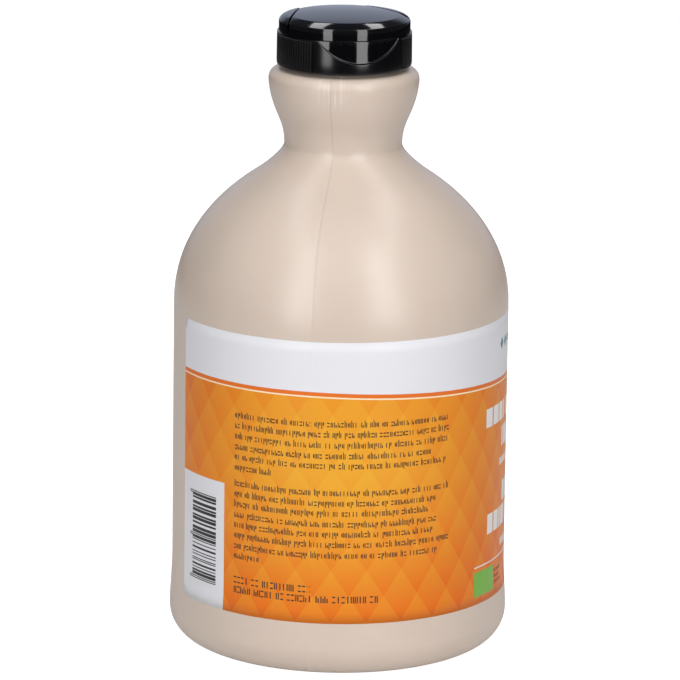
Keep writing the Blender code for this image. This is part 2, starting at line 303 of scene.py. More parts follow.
# %% [markdown]
# ## Finish of the jug
# The jug is satin polyethylene of a warm taupe. Light enters it a little, so it has a small
# subsurface share. Melted plastic that is drawn down into the mould leaves faint upright
# streaks, strongest near the neck. They are a noise that is read along a circle, so they go
# round the jug without a seam, and slowly upwards, so they are long.

# %% Material of the jug
JUG_TAUPE = (0.63, 0.525, 0.445)
JUG_PALE = (0.68, 0.565, 0.48)
JUG_ROUGHNESS = 0.32
STREAK_CIRCLE = 46.0 / 6.0
STREAK_RISE_PER_METRE = 14.0
STREAK_SCALE = 3.0
STREAK_FADE = (140.0 * MM, 172.0 * MM)
STREAK_LEAST = 0.10
STREAK_DEPTH = 0.02 * MM
JUG_GRAIN_SHARE = 0.15
JUG_GLOSS_CHANGE = 0.05
JUG_RUBBED_CHANGE = 0.03

jug_plastic, jug_tree, jug_shader = plain_material(
    "jug_plastic", JUG_TAUPE, JUG_ROUGHNESS,
    IOR=1.5,
    Specular_IOR_Level=0.62,
    Subsurface_Weight=0.12,
    Subsurface_Radius=(1.0, 0.75, 0.6),
    Subsurface_Scale=1.5 * MM,
)
jug_skin = skin_of(jug_tree, 900.0, 55.0, 260.0)
jug_x, jug_y, jug_z = parts_of(jug_tree, add_node(jug_tree, "ShaderNodeTexCoord").outputs["Object"])
jug_turn = calc(jug_tree, "ARCTAN2", jug_x, calc(jug_tree, "MULTIPLY", jug_y, -1.0))
streak_x = calc(jug_tree, "MULTIPLY", calc(jug_tree, "SINE", jug_turn), STREAK_CIRCLE)
streak_y = calc(jug_tree, "MULTIPLY", calc(jug_tree, "COSINE", jug_turn), STREAK_CIRCLE)
streak_z = calc(jug_tree, "MULTIPLY", jug_z, STREAK_RISE_PER_METRE)
streak = noise(jug_tree, vector_of(jug_tree, streak_x, streak_y, streak_z), STREAK_SCALE, 3.0)
near_neck = remap(jug_tree, jug_z, *STREAK_FADE, STREAK_LEAST, 1.0, "SMOOTHSTEP")
streak_height = calc(jug_tree, "MULTIPLY", streak, near_neck)
jug_height = calc(jug_tree, "MULTIPLY_ADD", jug_skin["Height"], JUG_GRAIN_SHARE, streak_height)
add_bump(jug_tree, jug_shader, jug_height, STREAK_DEPTH)
print("the jug's streaks are", STREAK_DEPTH / MM, "mm deep")

# %% [markdown]
# ## Colour and gloss of the jug
# The taupe is cloudy: it goes softly to a paler one and back. Along the line where the two
# halves of the mould met, a painted shade darkens the jug above the label, and just under the
# bead a painted highlight makes the streaks beside it pale. Each of them is a colour mixed in
# by a share, and the share is a bell curve on the sine of the angle from the line, so it shows on both sides
# of the jug.

# %% Colour and gloss of the jug
CLOUD_MIDDLE = 0.4
CLOUD_STRENGTH = 1.2
SEAM_TURN = -9.8
# The seam's darker colour is painted shade along the mould line above the label.
SEAM_PAINTED_SHADE = (0.26, 0.19, 0.14)
SEAM_PAINTED_SHADE_REACH = 0.008
SEAM_PAINTED_SHADE_FADE = (104.0 * MM, 150.0 * MM)
SEAM_PAINTED_SHADE_SHARE = 0.22
# The pale streak colour is a painted highlight beside the mould line just under the bead.
JUG_PAINTED_HIGHLIGHT = (0.86, 0.79, 0.73)
PAINTED_HIGHLIGHT_REACH = 0.17
PAINTED_HIGHLIGHT_FADE = (166.0 * MM, 170.0 * MM)
PAINTED_HIGHLIGHT_SHARE = 0.5
PAINTED_HIGHLIGHT_STREAKS = (0.47, 0.60)

pale_share = calc(
    jug_tree, "MULTIPLY_ADD", jug_skin["Gloss change"], CLOUD_STRENGTH, CLOUD_MIDDLE, clamp=True,
)
jug_colour = mix_colour(jug_tree, pale_share, JUG_TAUPE, JUG_PALE)
seam_away = calc(jug_tree, "SINE", calc(jug_tree, "SUBTRACT", jug_turn, math.radians(SEAM_TURN)))
# Painted shade: a darker colour along the mould line above the label.
painted_shade_bell = bell(jug_tree, calc(jug_tree, "DIVIDE", seam_away, SEAM_PAINTED_SHADE_REACH))
painted_shade_high = remap(jug_tree, jug_z, *SEAM_PAINTED_SHADE_FADE, 0.0, SEAM_PAINTED_SHADE_SHARE, "SMOOTHSTEP")
painted_shade_share = calc(jug_tree, "MULTIPLY", painted_shade_bell, painted_shade_high)
jug_colour = mix_colour(jug_tree, painted_shade_share, jug_colour, SEAM_PAINTED_SHADE)
# Painted highlight: pale streaks beside the mould line just under the bead.
highlight_bell = bell(jug_tree, calc(jug_tree, "DIVIDE", seam_away, PAINTED_HIGHLIGHT_REACH))
highlight_high = remap(jug_tree, jug_z, *PAINTED_HIGHLIGHT_FADE, 0.0, PAINTED_HIGHLIGHT_SHARE, "SMOOTHSTEP")
highlight_lines = remap(jug_tree, streak, *PAINTED_HIGHLIGHT_STREAKS, 0.0, 1.0, "SMOOTHSTEP")
painted_highlight_share = calc(jug_tree, "MULTIPLY", highlight_lines, calc(jug_tree, "MULTIPLY", highlight_bell, highlight_high))
jug_colour = mix_colour(jug_tree, painted_highlight_share, jug_colour, JUG_PAINTED_HIGHLIGHT)
jug_tree.links.new(jug_colour, jug_shader.inputs["Base Color"])
jug_rough = calc(jug_tree, "MULTIPLY_ADD", jug_skin["Gloss change"], JUG_GLOSS_CHANGE, JUG_ROUGHNESS)
jug_rough = calc(jug_tree, "MULTIPLY_ADD", jug_skin["Rubbed"], JUG_RUBBED_CHANGE, jug_rough)
jug_tree.links.new(jug_rough, jug_shader.inputs["Roughness"])
print("jug material has", len(jug_tree.nodes), "nodes")

# %% [markdown]
# ## Profile of the jug
# The bottle is turned, so one line from the axis down its outside gives its whole shape:
# neck, rolled bead, pinched waist, domed shoulder, straight label panel, a heel that flares
# by less than a millimetre, the round bottom edge, and the pushed-up underside. The curved
# stretches are cubic curves between points where the wall's lean is known.

# %% Sizes of the jug
UNDERSIDE = (
    (36.0, 0.0), (34.6, 0.25), (32.6, 1.5), (31.0, 2.2),
    (27.0, 2.6), (18.0, 3.0), (9.0, 3.3), (0.0, 3.4),
)
HEEL_RADIUS = 51.45 * MM
HEEL_FILLET = 9.2 * MM
PANEL_BOTTOM_RADIUS = 50.75 * MM
PANEL_BOTTOM_HEIGHT = 25.0 * MM
PANEL_TOP_RADIUS = 50.6 * MM
PANEL_TOP_HEIGHT = 104.4 * MM
SHOULDER = (27.05 * MM, 143.2 * MM)
SHOULDER_LEAN = 56.6
WAIST = (17.75 * MM, 152.7 * MM)
FLARE = (20.1 * MM, 162.1 * MM)
FLARE_LEAN = -23.4
BEAD = (22.6 * MM, 172.6 * MM)
BEAD_ROLL = 3.0 * MM
NECK_RADIUS = 15.8 * MM
NECK_TOP = 184.9 * MM
HEEL_LINES = ((12.4 * MM, 0.02 * MM), (9.9 * MM, 0.015 * MM))
HEEL_LINE_WIDTH = 0.35 * MM
HEEL_LINE_STEPS = (-1.5, -0.8, -0.4, 0, 0.4, 0.8, 1.5)
HEEL_STEPS = 16
PANEL_STEPS = 14


# %% Points of the profile
def held(value):
    """The value, held between 0 and 1."""
    return min(max(value, 0.0), 1.0)


def soft_step(value):
    """A smooth step from 0 to 1."""
    value = held(value)
    return value * value * (3 - 2 * value)


def turn_arc(centre, radius, start, end, steps):
    """Points of an arc; 0 degrees points outwards and 90 degrees points up."""
    points = []
    for step in range(steps + 1):
        angle = math.radians(start + (end - start) * step / steps)
        points.append((centre[0] + radius * math.cos(angle), centre[1] + radius * math.sin(angle)))
    return points


def leaning_curve(top, top_lean, bottom, bottom_lean, handles, steps):
    """Points of a cubic curve down a wall, from the lean in degrees at each of its ends."""
    span = math.dist(top, bottom)
    near_lean = math.radians(top_lean)
    far_lean = math.radians(bottom_lean)
    near = Vector((math.sin(near_lean), -math.cos(near_lean))) * handles[0] * span + Vector(top)
    far = Vector((-math.sin(far_lean), math.cos(far_lean))) * handles[1] * span + Vector(bottom)
    points = []
    for step in range(steps + 1):
        t = step / steps
        weights = ((1 - t) ** 3, 3 * (1 - t) ** 2 * t, 3 * (1 - t) * t ** 2, t ** 3)
        corners = (Vector(top), near, far, Vector(bottom))
        points.append(tuple(sum((w * c for w, c in zip(weights, corners)), Vector((0.0, 0.0)))))
    return points


def panel_radius(height):
    """The wall's radius on the straight panel and on the heel's flare."""
    fall = soft_step((PANEL_BOTTOM_HEIGHT - height) / (PANEL_BOTTOM_HEIGHT - HEEL_FILLET))
    rise = held((height - PANEL_BOTTOM_HEIGHT) / (PANEL_TOP_HEIGHT - PANEL_BOTTOM_HEIGHT))
    flare = (HEEL_RADIUS - PANEL_BOTTOM_RADIUS) * fall
    return PANEL_BOTTOM_RADIUS + (PANEL_TOP_RADIUS - PANEL_BOTTOM_RADIUS) * rise + flare


def heel_points():
    """The heel from the panel down to the fillet, with two hairline grooves round it."""
    fall = HEEL_FILLET - PANEL_BOTTOM_HEIGHT
    heights = [PANEL_BOTTOM_HEIGHT + fall * i / HEEL_STEPS for i in range(HEEL_STEPS + 1)]
    for line_height, _ in HEEL_LINES:
        heights += [line_height + HEEL_LINE_WIDTH * step for step in HEEL_LINE_STEPS]
    points = []
    for height in sorted((h for h in heights if h >= HEEL_FILLET), reverse=True):
        radius = panel_radius(height)
        for line_height, depth in HEEL_LINES:
            radius -= depth * math.exp(-(((height - line_height) / HEEL_LINE_WIDTH) ** 2) * 4)
        points.append((radius, height))
    return points


def run_together(*runs):
    """Join runs of points, without repeating the point where two of them meet."""
    points = []
    for run in runs:
        for point in run:
            if not points or math.dist(point, points[-1]) > 0.02 * MM:
                points.append(point)
    return points


panel_fall = PANEL_BOTTOM_HEIGHT - PANEL_TOP_HEIGHT
panel_heights = [PANEL_TOP_HEIGHT + panel_fall * i / PANEL_STEPS for i in range(1, PANEL_STEPS)]
panel_top = (PANEL_TOP_RADIUS, PANEL_TOP_HEIGHT)
heel_centre = (HEEL_RADIUS - HEEL_FILLET, HEEL_FILLET)
jug_profile = run_together(
    [(0.0, NECK_TOP), (NECK_RADIUS, NECK_TOP), (NECK_RADIUS, BEAD[1] + BEAD_ROLL)],
    turn_arc((BEAD[0] - BEAD_ROLL, BEAD[1]), BEAD_ROLL, 90, 0, 10),
    leaning_curve(BEAD, 0.0, FLARE, FLARE_LEAN, (0.32, 0.33), 10),
    leaning_curve(FLARE, FLARE_LEAN, WAIST, 0.0, (0.37, 0.41), 12),
    leaning_curve(WAIST, 0.0, SHOULDER, SHOULDER_LEAN, (0.18, 0.30), 16),
    leaning_curve(SHOULDER, SHOULDER_LEAN, panel_top, 0.0, (0.34, 0.38), 26),
    [(panel_radius(height), height) for height in panel_heights],
    heel_points(),
    turn_arc(heel_centre, HEEL_FILLET, 0, -90, 14),
    [(radius * MM, height * MM) for radius, height in UNDERSIDE],
)
print("profile of", len(jug_profile), "points")

# %% [markdown]
# ## Places round the jug
# A line where the two halves of the mould met runs up both sides of the jug. It is less than
# a millimetre wide, so an even grid would need thousands of columns. Instead the columns are
# listed, a few degrees apart, and crowd together at the mould line.

# %% List the columns
SEAM_OFFSETS = (0.0, 0.12, 0.24, 0.36, 0.5, 0.66, 0.85, 1.1, 1.5, 2.1)
WALL_TURN_STEP = 2.4


def crowded_turns(start, end, step):
    """Angles in degrees from start to end that crowd together at both mould lines."""
    count = round((end - start) / step)
    turns = [start + (end - start) * i / count for i in range(count + 1)]
    lines = [SEAM_TURN + 180.0 * half for half in (-1, 0, 1, 2)]
    reach = SEAM_OFFSETS[-1] + step / 3
    kept = [t for t in turns if all(abs(t - line) > reach for line in lines) or t in (start, end)]
    for line in lines:
        for offset in SEAM_OFFSETS:
            kept += [line + side * offset for side in (-1, 1)]
    return sorted({round(t, 4) for t in kept if start <= t <= end})


wall_turns = crowded_turns(-180.0, 180.0, WALL_TURN_STEP)
profile_points = point_list("jug_profile_points", [(r, 0.0, z) for r, z in reversed(jug_profile)])
wall_columns = point_list("jug_columns", [(math.radians(t), 0.0, 0.0) for t in wall_turns])
print(len(wall_turns), "columns")

# %% [markdown]
# ## Shared shape: the jug's own unevenness
# The label lies on the jug, so both must follow the same wall: the mould line stands a little
# proud under the label too, and ends in a small nub at the foot, and the wall swells and
# sinks by hundredths of a millimetre. One geometry group gives that unevenness at an angle,
# radius and height, and both pieces use it. The middle of the swell is set so that the jug
# mostly sinks, and stays inside the size of the CAD model.

# %% Geometry group for the unevenness
SEAM_HEIGHT = 0.06 * MM
SEAM_WIDTH = 0.42 * MM
FOOT_NUB_HEIGHT = 0.45 * MM
FOOT_NUB_FADE = (5.0 * MM, 2.5 * MM)
SEAM_END_FADE = (0.3 * MM, 1.2 * MM)
SWELL_SIZE = 0.25 * MM
SWELL_MIDDLE = 0.65
SWELL_SCALE = 1.3
SWELL_RISE_PER_METRE = 18.0
SWELL_FOOT_FADE = (1.0 * MM, 8.0 * MM)
SWELL_BEAD_FADE = (176.0 * MM, 168.0 * MM)

uneven, uneven_in, uneven_out = new_group(
    "jug_unevenness",
    "GeometryNodeTree",
    [
        ("Turn", "NodeSocketFloat", 0.0),
        ("Radius", "NodeSocketFloat", 0.05),
        ("Height", "NodeSocketFloat", 0.0),
    ],
    [("Swell", "NodeSocketFloat")],
)
uneven_turn, uneven_height = uneven_in["Turn"], uneven_in["Height"]
from_line = calc(uneven, "SUBTRACT", uneven_turn, math.radians(SEAM_TURN))
line_distance = calc(uneven, "MULTIPLY", calc(uneven, "SINE", from_line), uneven_in["Radius"])
line_bell = bell(uneven, calc(uneven, "DIVIDE", line_distance, SEAM_WIDTH))
foot_nub = remap(uneven, uneven_height, *FOOT_NUB_FADE, 0.0, FOOT_NUB_HEIGHT, "SMOOTHSTEP")
line_end = remap(uneven, uneven_height, *SEAM_END_FADE, 0.0, 1.0, "SMOOTHSTEP")
line_rise = calc(uneven, "MULTIPLY", calc(uneven, "ADD", foot_nub, SEAM_HEIGHT), line_end)
line_swell = calc(uneven, "MULTIPLY", line_bell, line_rise)
round_x = calc(uneven, "SINE", uneven_turn)
round_y = calc(uneven, "COSINE", uneven_turn)
round_z = calc(uneven, "MULTIPLY", uneven_height, SWELL_RISE_PER_METRE)
wave = noise(uneven, vector_of(uneven, round_x, round_y, round_z), SWELL_SCALE, 1.0)
wave_swell = calc(uneven, "MULTIPLY", calc(uneven, "SUBTRACT", wave, SWELL_MIDDLE), SWELL_SIZE)
for fade in (SWELL_FOOT_FADE, SWELL_BEAD_FADE):
    faded = remap(uneven, uneven_height, *fade, 0.0, 1.0, "SMOOTHSTEP")
    wave_swell = calc(uneven, "MULTIPLY", wave_swell, faded)
uneven.links.new(calc(uneven, "ADD", line_swell, wave_swell), uneven_out["Swell"])
print("jug_unevenness has", len(uneven.nodes), "nodes")

# %% [markdown]
# ## The jug's wall
# The wall could be a Screw modifier on the profile, as in the CAD model, but then the columns
# would be evenly spaced and nothing could stand out at one angle. Here a grid is bent round
# the axis: each row of the grid reads a profile point, each column reads an angle, and the
# unevenness is added to the radius. Merging closes the seam and both poles.

# %% Geometry group that reads a point from a list
listed, listed_in, listed_out = new_group(
    "listed_point",
    "GeometryNodeTree",
    [("List", "NodeSocketObject", None), ("Index", "NodeSocketInt", 0)],
    [("Point", "NodeSocketVector"), ("Count", "NodeSocketInt")],
)
list_geometry = add_node(listed, "GeometryNodeObjectInfo", {"Object": listed_in["List"]}).outputs["Geometry"]
list_position = add_node(listed, "GeometryNodeInputPosition").outputs[0]
list_sample = add_node(
    listed, "GeometryNodeSampleIndex",
    {"Geometry": list_geometry, "Value": list_position, "Index": listed_in["Index"]},
    data_type="FLOAT_VECTOR",
    domain="POINT",
)
list_size = add_node(listed, "GeometryNodeAttributeDomainSize", {0: list_geometry})
listed.links.new(list_sample.outputs[0], listed_out["Point"])
listed.links.new(list_size.outputs["Point Count"], listed_out["Count"])


def count_of(tree, holder):
    """The number of points in a list."""
    return use_group(tree, listed, {"List": holder})["Count"]


def point_of(tree, holder, index):
    """The x, y and z of the point of a list at an index."""
    return parts_of(tree, use_group(tree, listed, {"List": holder, "Index": index})["Point"])


def numbered_grid(tree, columns, rows):
    """A grid, and the row and the column of each of its points."""
    grid = add_node(tree, "GeometryNodeMeshGrid", {"Vertices X": columns, "Vertices Y": rows})
    index = add_node(tree, "GeometryNodeInputIndex").outputs[0]
    row, column = (
        add_node(tree, "FunctionNodeIntegerMath", {0: index, 1: rows}, operation=operation).outputs[0]
        for operation in ("MODULO", "DIVIDE")
    )
    return grid.outputs["Mesh"], row, column


def swell_of(tree, turn, radius, height):
    """The jug's unevenness at an angle, a radius and a height."""
    return use_group(tree, uneven, {"Turn": turn, "Radius": radius, "Height": height})["Swell"]


def bent_round(tree, turn, radius, height):
    """The point at an angle from the viewer's side, a radius and a height."""
    x = calc(tree, "MULTIPLY", calc(tree, "SINE", turn), radius)
    y = calc(tree, "MULTIPLY", calc(tree, "COSINE", turn), radius)
    return vector_of(tree, x, calc(tree, "MULTIPLY", y, -1.0), height)


# %% Bend a grid into the wall
SPIGOT_FADE = (16.5 * MM, 17.5 * MM)
WALL_MERGE = 0.005 * MM

wall, wall_in, wall_out = new_piece_tree(
    "turned_wall",
    [
        ("Profile", "NodeSocketObject", None),
        ("Columns", "NodeSocketObject", None),
        ("Merge distance", "NodeSocketFloat", WALL_MERGE),
    ],
)
column_count = count_of(wall, wall_in["Columns"])
row_count = count_of(wall, wall_in["Profile"])
wall_grid, wall_row, wall_column = numbered_grid(wall, column_count, row_count)
wall_radius, _, wall_height = point_of(wall, wall_in["Profile"], wall_row)
wall_turn = point_of(wall, wall_in["Columns"], wall_column)[0]
on_outside = remap(wall, wall_radius, *SPIGOT_FADE, 0.0, 1.0)
wall_swell = calc(wall, "MULTIPLY", swell_of(wall, wall_turn, wall_radius, wall_height), on_outside)
wall_place = bent_round(wall, wall_turn, calc(wall, "ADD", wall_radius, wall_swell), wall_height)
wall_bent = add_node(wall, "GeometryNodeSetPosition", {"Geometry": wall_grid, "Position": wall_place})
wall_merged = add_node(
    wall, "GeometryNodeMergeByDistance",
    {"Geometry": wall_bent.outputs[0], "Distance": wall_in["Merge distance"]},
)
wall_smooth = add_node(wall, "GeometryNodeSetShadeSmooth", {"Geometry": wall_merged.outputs[0]})
finish_tree(wall, wall_smooth.outputs[0], wall_in["Material"], wall_out)
grow_piece(
    "jug_wall",
    wall,
    {
        "Profile": profile_points,
        "Columns": wall_columns,
        "Merge distance": WALL_MERGE,
        "Material": jug_plastic,
    },
)

# %% [markdown]
# ## Flat artwork and how it is wrapped
# The label and everything printed on it are drawn flat, as a printer would: x runs along the
# label, z runs up it, and a lift off the paper is towards the viewer, which is -y. One
# geometry group then bends any flat drawing round the jug's wall. Angle is length over the
# panel's radius, and the radius at a height is the same formula as in the jug's profile.

# %% Geometry group that wraps flat artwork
WRAP_RADIUS = PANEL_TOP_RADIUS

wrap, wrap_in, wrap_out = new_group(
    "wrap_on_jug",
    "GeometryNodeTree",
    [("Geometry", "NodeSocketGeometry", None), ("Lift", "NodeSocketFloat", 0.0)],
    [("Geometry", "NodeSocketGeometry")],
)
flat_place = add_node(wrap, "GeometryNodeInputPosition").outputs[0]
flat_x, flat_y, flat_z = parts_of(wrap, flat_place)
wrap_turn = calc(wrap, "DIVIDE", flat_x, WRAP_RADIUS)
wrap_panel = remap(
    wrap, flat_z, PANEL_BOTTOM_HEIGHT, PANEL_TOP_HEIGHT, PANEL_BOTTOM_RADIUS, PANEL_TOP_RADIUS,
)
wrap_flare = remap(
    wrap, flat_z, PANEL_BOTTOM_HEIGHT, HEEL_FILLET, 0.0, HEEL_RADIUS - PANEL_BOTTOM_RADIUS, "SMOOTHSTEP",
)
wrap_wall = calc(wrap, "ADD", wrap_panel, wrap_flare)
wrap_radius = calc(wrap, "ADD", wrap_wall, swell_of(wrap, wrap_turn, wrap_wall, flat_z))
wrap_radius = calc(wrap, "SUBTRACT", wrap_radius, flat_y)
wrap_radius = calc(wrap, "ADD", wrap_radius, wrap_in["Lift"])
wrap_bent = bent_round(wrap, wrap_turn, wrap_radius, flat_z)
wrap_kept = add_node(
    wrap, "GeometryNodeStoreNamedAttribute",
    {"Geometry": wrap_in["Geometry"], "Name": "print_place", "Value": flat_place},
    data_type="FLOAT_VECTOR",
    domain="POINT",
)
wrap_set = add_node(
    wrap, "GeometryNodeSetPosition", {"Geometry": wrap_kept.outputs[0], "Position": wrap_bent},
)
wrap.links.new(wrap_set.outputs[0], wrap_out["Geometry"])


def wrapped(tree, geometry, lift):
    """Place the wrapping group in a tree; returns its geometry."""
    return use_group(tree, wrap, {"Geometry": geometry, "Lift": lift})[0]


def along(turn):
    """Length along the flat label, in metres, at an angle in degrees."""
    return math.radians(turn) * WRAP_RADIUS


# %% [markdown]
# ## Finish of the label
# The film is printed, so its pattern belongs to the flat artwork. The shader reads the flat
# place that the wrapping kept on each point, in metres, and works out every field by formula:
# a pale band on top, a curved stripe and a hairline under it, a pale patch for the bars, and
# lozenges that run from gold at the top to deep orange at the foot.

# %% Sizes of the print
LABEL_START = -66.0
LABEL_SWEEP = 336.0
LABEL_BOTTOM = 17.5 * MM
LABEL_TOP = 103.2 * MM
LABEL_CORNER = 2.0 * MM
BAND_LOW = 84.3 * MM
BAND_RISE = 3.9 * MM
BAND_CENTRE = along(100.0)
BAND_REACH = along(120.0)
STRIPE_WIDTH = 1.2 * MM
HAIRLINE_WIDTH = 0.45 * MM
PATCH_END = along(-42.15)
PATCH_TOP = 56.7 * MM
LOZENGE_WIDTH = 10.57 * MM
LOZENGE_HEIGHT = 15.85 * MM
LOZENGE_APEX = (along(-2.3), 33.7 * MM)

WHITE_INK = (0.765, 0.765, 0.80)
STRIPE_ORANGE = (0.76, 0.165, 0.018)
HAIRLINE_CREAM = (0.95, 0.78, 0.53)
GOLD = (0.82, 0.385, 0.028)
DEEP_ORANGE = (0.755, 0.117, 0.002)
GOLD_LEAST = 0.17
GOLD_IN_GLOW = 0.80
LOZENGE_CONTRAST = 0.24
LOZENGE_CONTRAST_LOST = 0.12
GLOW_HEIGHT = 66.0 * MM
GLOW_REACH_UP = 36.0 * MM
GLOW_REACH_ROUND = 50.0
GLOWS = ((-1.0, 1.0), (201.0, 1.0), (115.0, 0.4))
print("label", round(along(LABEL_SWEEP) / MM, 1), "by", round((LABEL_TOP - LABEL_BOTTOM) / MM, 1), "mm")

# %% Shader group for the lozenges
loz, loz_in, loz_out = new_group(
    "harlequin_lozenges",
    "ShaderNodeTree",
    [
        ("Place", "NodeSocketVector", None),
        ("Width", "NodeSocketFloat", LOZENGE_WIDTH),
        ("Height", "NodeSocketFloat", LOZENGE_HEIGHT),
        ("Apex x", "NodeSocketFloat", LOZENGE_APEX[0]),
        ("Apex z", "NodeSocketFloat", LOZENGE_APEX[1]),
    ],
    [("Rise", "NodeSocketFloat")],
)
loz_x, _, loz_z = parts_of(loz, loz_in["Place"])
loz_u = calc(loz, "DIVIDE", calc(loz, "SUBTRACT", loz_x, loz_in["Apex x"]), loz_in["Width"])
loz_v = calc(loz, "DIVIDE", calc(loz, "SUBTRACT", loz_z, loz_in["Apex z"]), loz_in["Height"])
loz_a = calc(loz, "FRACT", calc(loz, "ADD", loz_v, loz_u))
loz_b = calc(loz, "FRACT", calc(loz, "SUBTRACT", loz_v, loz_u))
loz_rise = calc(loz, "MULTIPLY", calc(loz, "ADD", loz_a, loz_b), 0.5)
loz.links.new(loz_rise, loz_out["Rise"])
print("harlequin_lozenges has", len(loz.nodes), "nodes")

# %% [markdown]
# ## Shared finish: film over print
# Everything printed lies under the same glossy film, so the paper, the dark marks and the
# coloured patches all share its soft waves. That is a second shader group.

# %% Shader group for the film
PRINT_ROUGHNESS = 0.34
PRINT_IOR = 1.46
FILM_WAVE_DEPTH = 0.03 * MM
FILM_DUST_SHARE = 0.06
FILM_GLOSS_CHANGE = 0.10

film, film_in, film_out = new_group(
    "film_waves",
    "ShaderNodeTree",
    [("Wave per metre", "NodeSocketFloat", 70.0), ("Dust per metre", "NodeSocketFloat", 900.0)],
    [("Height", "NodeSocketFloat"), ("Gloss change", "NodeSocketFloat")],
)
film_place = add_node(film, "ShaderNodeTexCoord").outputs["Object"]
film_wave = noise(film, film_place, film_in["Wave per metre"], 1.0)
film_dust = noise(film, film_place, film_in["Dust per metre"], 2.0)
film_grain = calc(film, "MULTIPLY", film_dust, FILM_DUST_SHARE)
film.links.new(calc(film, "ADD", film_wave, film_grain), film_out["Height"])
film.links.new(calc(film, "SUBTRACT", film_dust, 0.5), film_out["Gloss change"])
print("film_waves has", len(film.nodes), "nodes")


def give_film(tree, shader):
    """Put the film's waves and gloss on a printed material."""
    waves = use_group(tree, film)
    add_bump(tree, shader, waves["Height"], FILM_WAVE_DEPTH)
    rough = calc(tree, "MULTIPLY_ADD", waves["Gloss change"], FILM_GLOSS_CHANGE, PRINT_ROUGHNESS)
    tree.links.new(rough, shader.inputs["Roughness"])


# %% Material of the label
label_film, label_tree, label_shader = plain_material(
    "label_film", GOLD, PRINT_ROUGHNESS, IOR=PRINT_IOR, Specular_IOR_Level=0.3,
)
give_film(label_tree, label_shader)
print_place = add_node(label_tree, "ShaderNodeAttribute", attribute_name="print_place").outputs["Vector"]
print_x, _, print_z = parts_of(label_tree, print_place)

from_centre = calc(label_tree, "ABSOLUTE", calc(label_tree, "SUBTRACT", print_x, BAND_CENTRE))
band_lift = remap(label_tree, from_centre, 0.0, BAND_REACH, 0.0, BAND_RISE, "SMOOTHSTEP")
band_edge = calc(label_tree, "ADD", band_lift, BAND_LOW)
below_band = calc(label_tree, "SUBTRACT", band_edge, print_z)
in_band = calc(label_tree, "LESS_THAN", below_band, 0.0)
in_stripe = calc(label_tree, "COMPARE", below_band, STRIPE_WIDTH / 2, STRIPE_WIDTH / 2)
hairline_middle = STRIPE_WIDTH + HAIRLINE_WIDTH / 2
in_hairline = calc(label_tree, "COMPARE", below_band, hairline_middle, HAIRLINE_WIDTH / 2)

left_of_end = calc(label_tree, "LESS_THAN", print_x, PATCH_END)
under_top = calc(label_tree, "LESS_THAN", print_z, PATCH_TOP)
in_patch = calc(label_tree, "MULTIPLY", left_of_end, under_top)

lozenge_rise = use_group(label_tree, loz, {"Place": print_place})["Rise"]
lozenge_rise = calc(label_tree, "MULTIPLY_ADD", lozenge_rise, 2.0, -1.0)
up = calc(label_tree, "DIVIDE", calc(label_tree, "SUBTRACT", print_z, GLOW_HEIGHT), GLOW_REACH_UP)
up_square = calc(label_tree, "MULTIPLY", up, up)
glow = 0.0
for turn, strength in GLOWS:
    away = calc(label_tree, "SUBTRACT", print_x, along(turn))
    away = calc(label_tree, "DIVIDE", away, along(GLOW_REACH_ROUND))
    distance = calc(label_tree, "MULTIPLY_ADD", away, away, up_square)
    spot = calc(label_tree, "EXPONENT", calc(label_tree, "MULTIPLY", distance, -1.0))
    glow = calc(label_tree, "MULTIPLY_ADD", spot, strength, glow)
contrast = calc(label_tree, "MULTIPLY_ADD", glow, -LOZENGE_CONTRAST_LOST, LOZENGE_CONTRAST)
gold_share = calc(label_tree, "MULTIPLY_ADD", glow, GOLD_IN_GLOW, GOLD_LEAST)
gold_share = calc(label_tree, "MULTIPLY_ADD", lozenge_rise, contrast, gold_share, clamp=True)
field = mix_colour(label_tree, gold_share, DEEP_ORANGE, GOLD)
field = mix_colour(label_tree, in_stripe, field, STRIPE_ORANGE)
field = mix_colour(label_tree, in_hairline, field, HAIRLINE_CREAM)
white_masks = calc(label_tree, "MAXIMUM", in_band, in_patch)
label_colour = mix_colour(label_tree, white_masks, field, WHITE_INK)
label_tree.links.new(label_colour, label_shader.inputs["Base Color"])
print("label material has", len(label_tree.nodes), "nodes")

# %% [markdown]
# ## The label's film
# The film is a thin sheet with round corners that lies on the panel. It is drawn flat and then
# wrapped. The columns come from a list again, so that the mould line shows through. A point's
# height is a share of the way between the lower and the upper edge, and both edges draw in
# towards the ends along a quarter circle, which rounds the corners without any loose cuts.

# %% Draw the film flat and wrap it
FILM_INNER = -0.03 * MM
FILM_OUTER = 0.04 * MM
CORNER_STEPS = (0.0, 0.02, 0.07, 0.15, 0.28, 0.45, 0.7, 1.0, 1.5, 2.0)
CORNER_REACH = 2.4 * MM
LABEL_TURN_STEP = 2.0

label_start = along(LABEL_START)
label_end = along(LABEL_START + LABEL_SWEEP)
label_xs = [along(turn) for turn in crowded_turns(LABEL_START, LABEL_START + LABEL_SWEEP, LABEL_TURN_STEP)]
label_xs = [x for x in label_xs if label_xs[0] + CORNER_REACH < x < label_xs[-1] - CORNER_REACH]
label_xs += [label_start + step * MM for step in CORNER_STEPS]
label_xs += [label_end - step * MM for step in CORNER_STEPS]
label_columns = point_list("label_columns", [(x, 0.0, 0.0) for x in sorted(label_xs)])

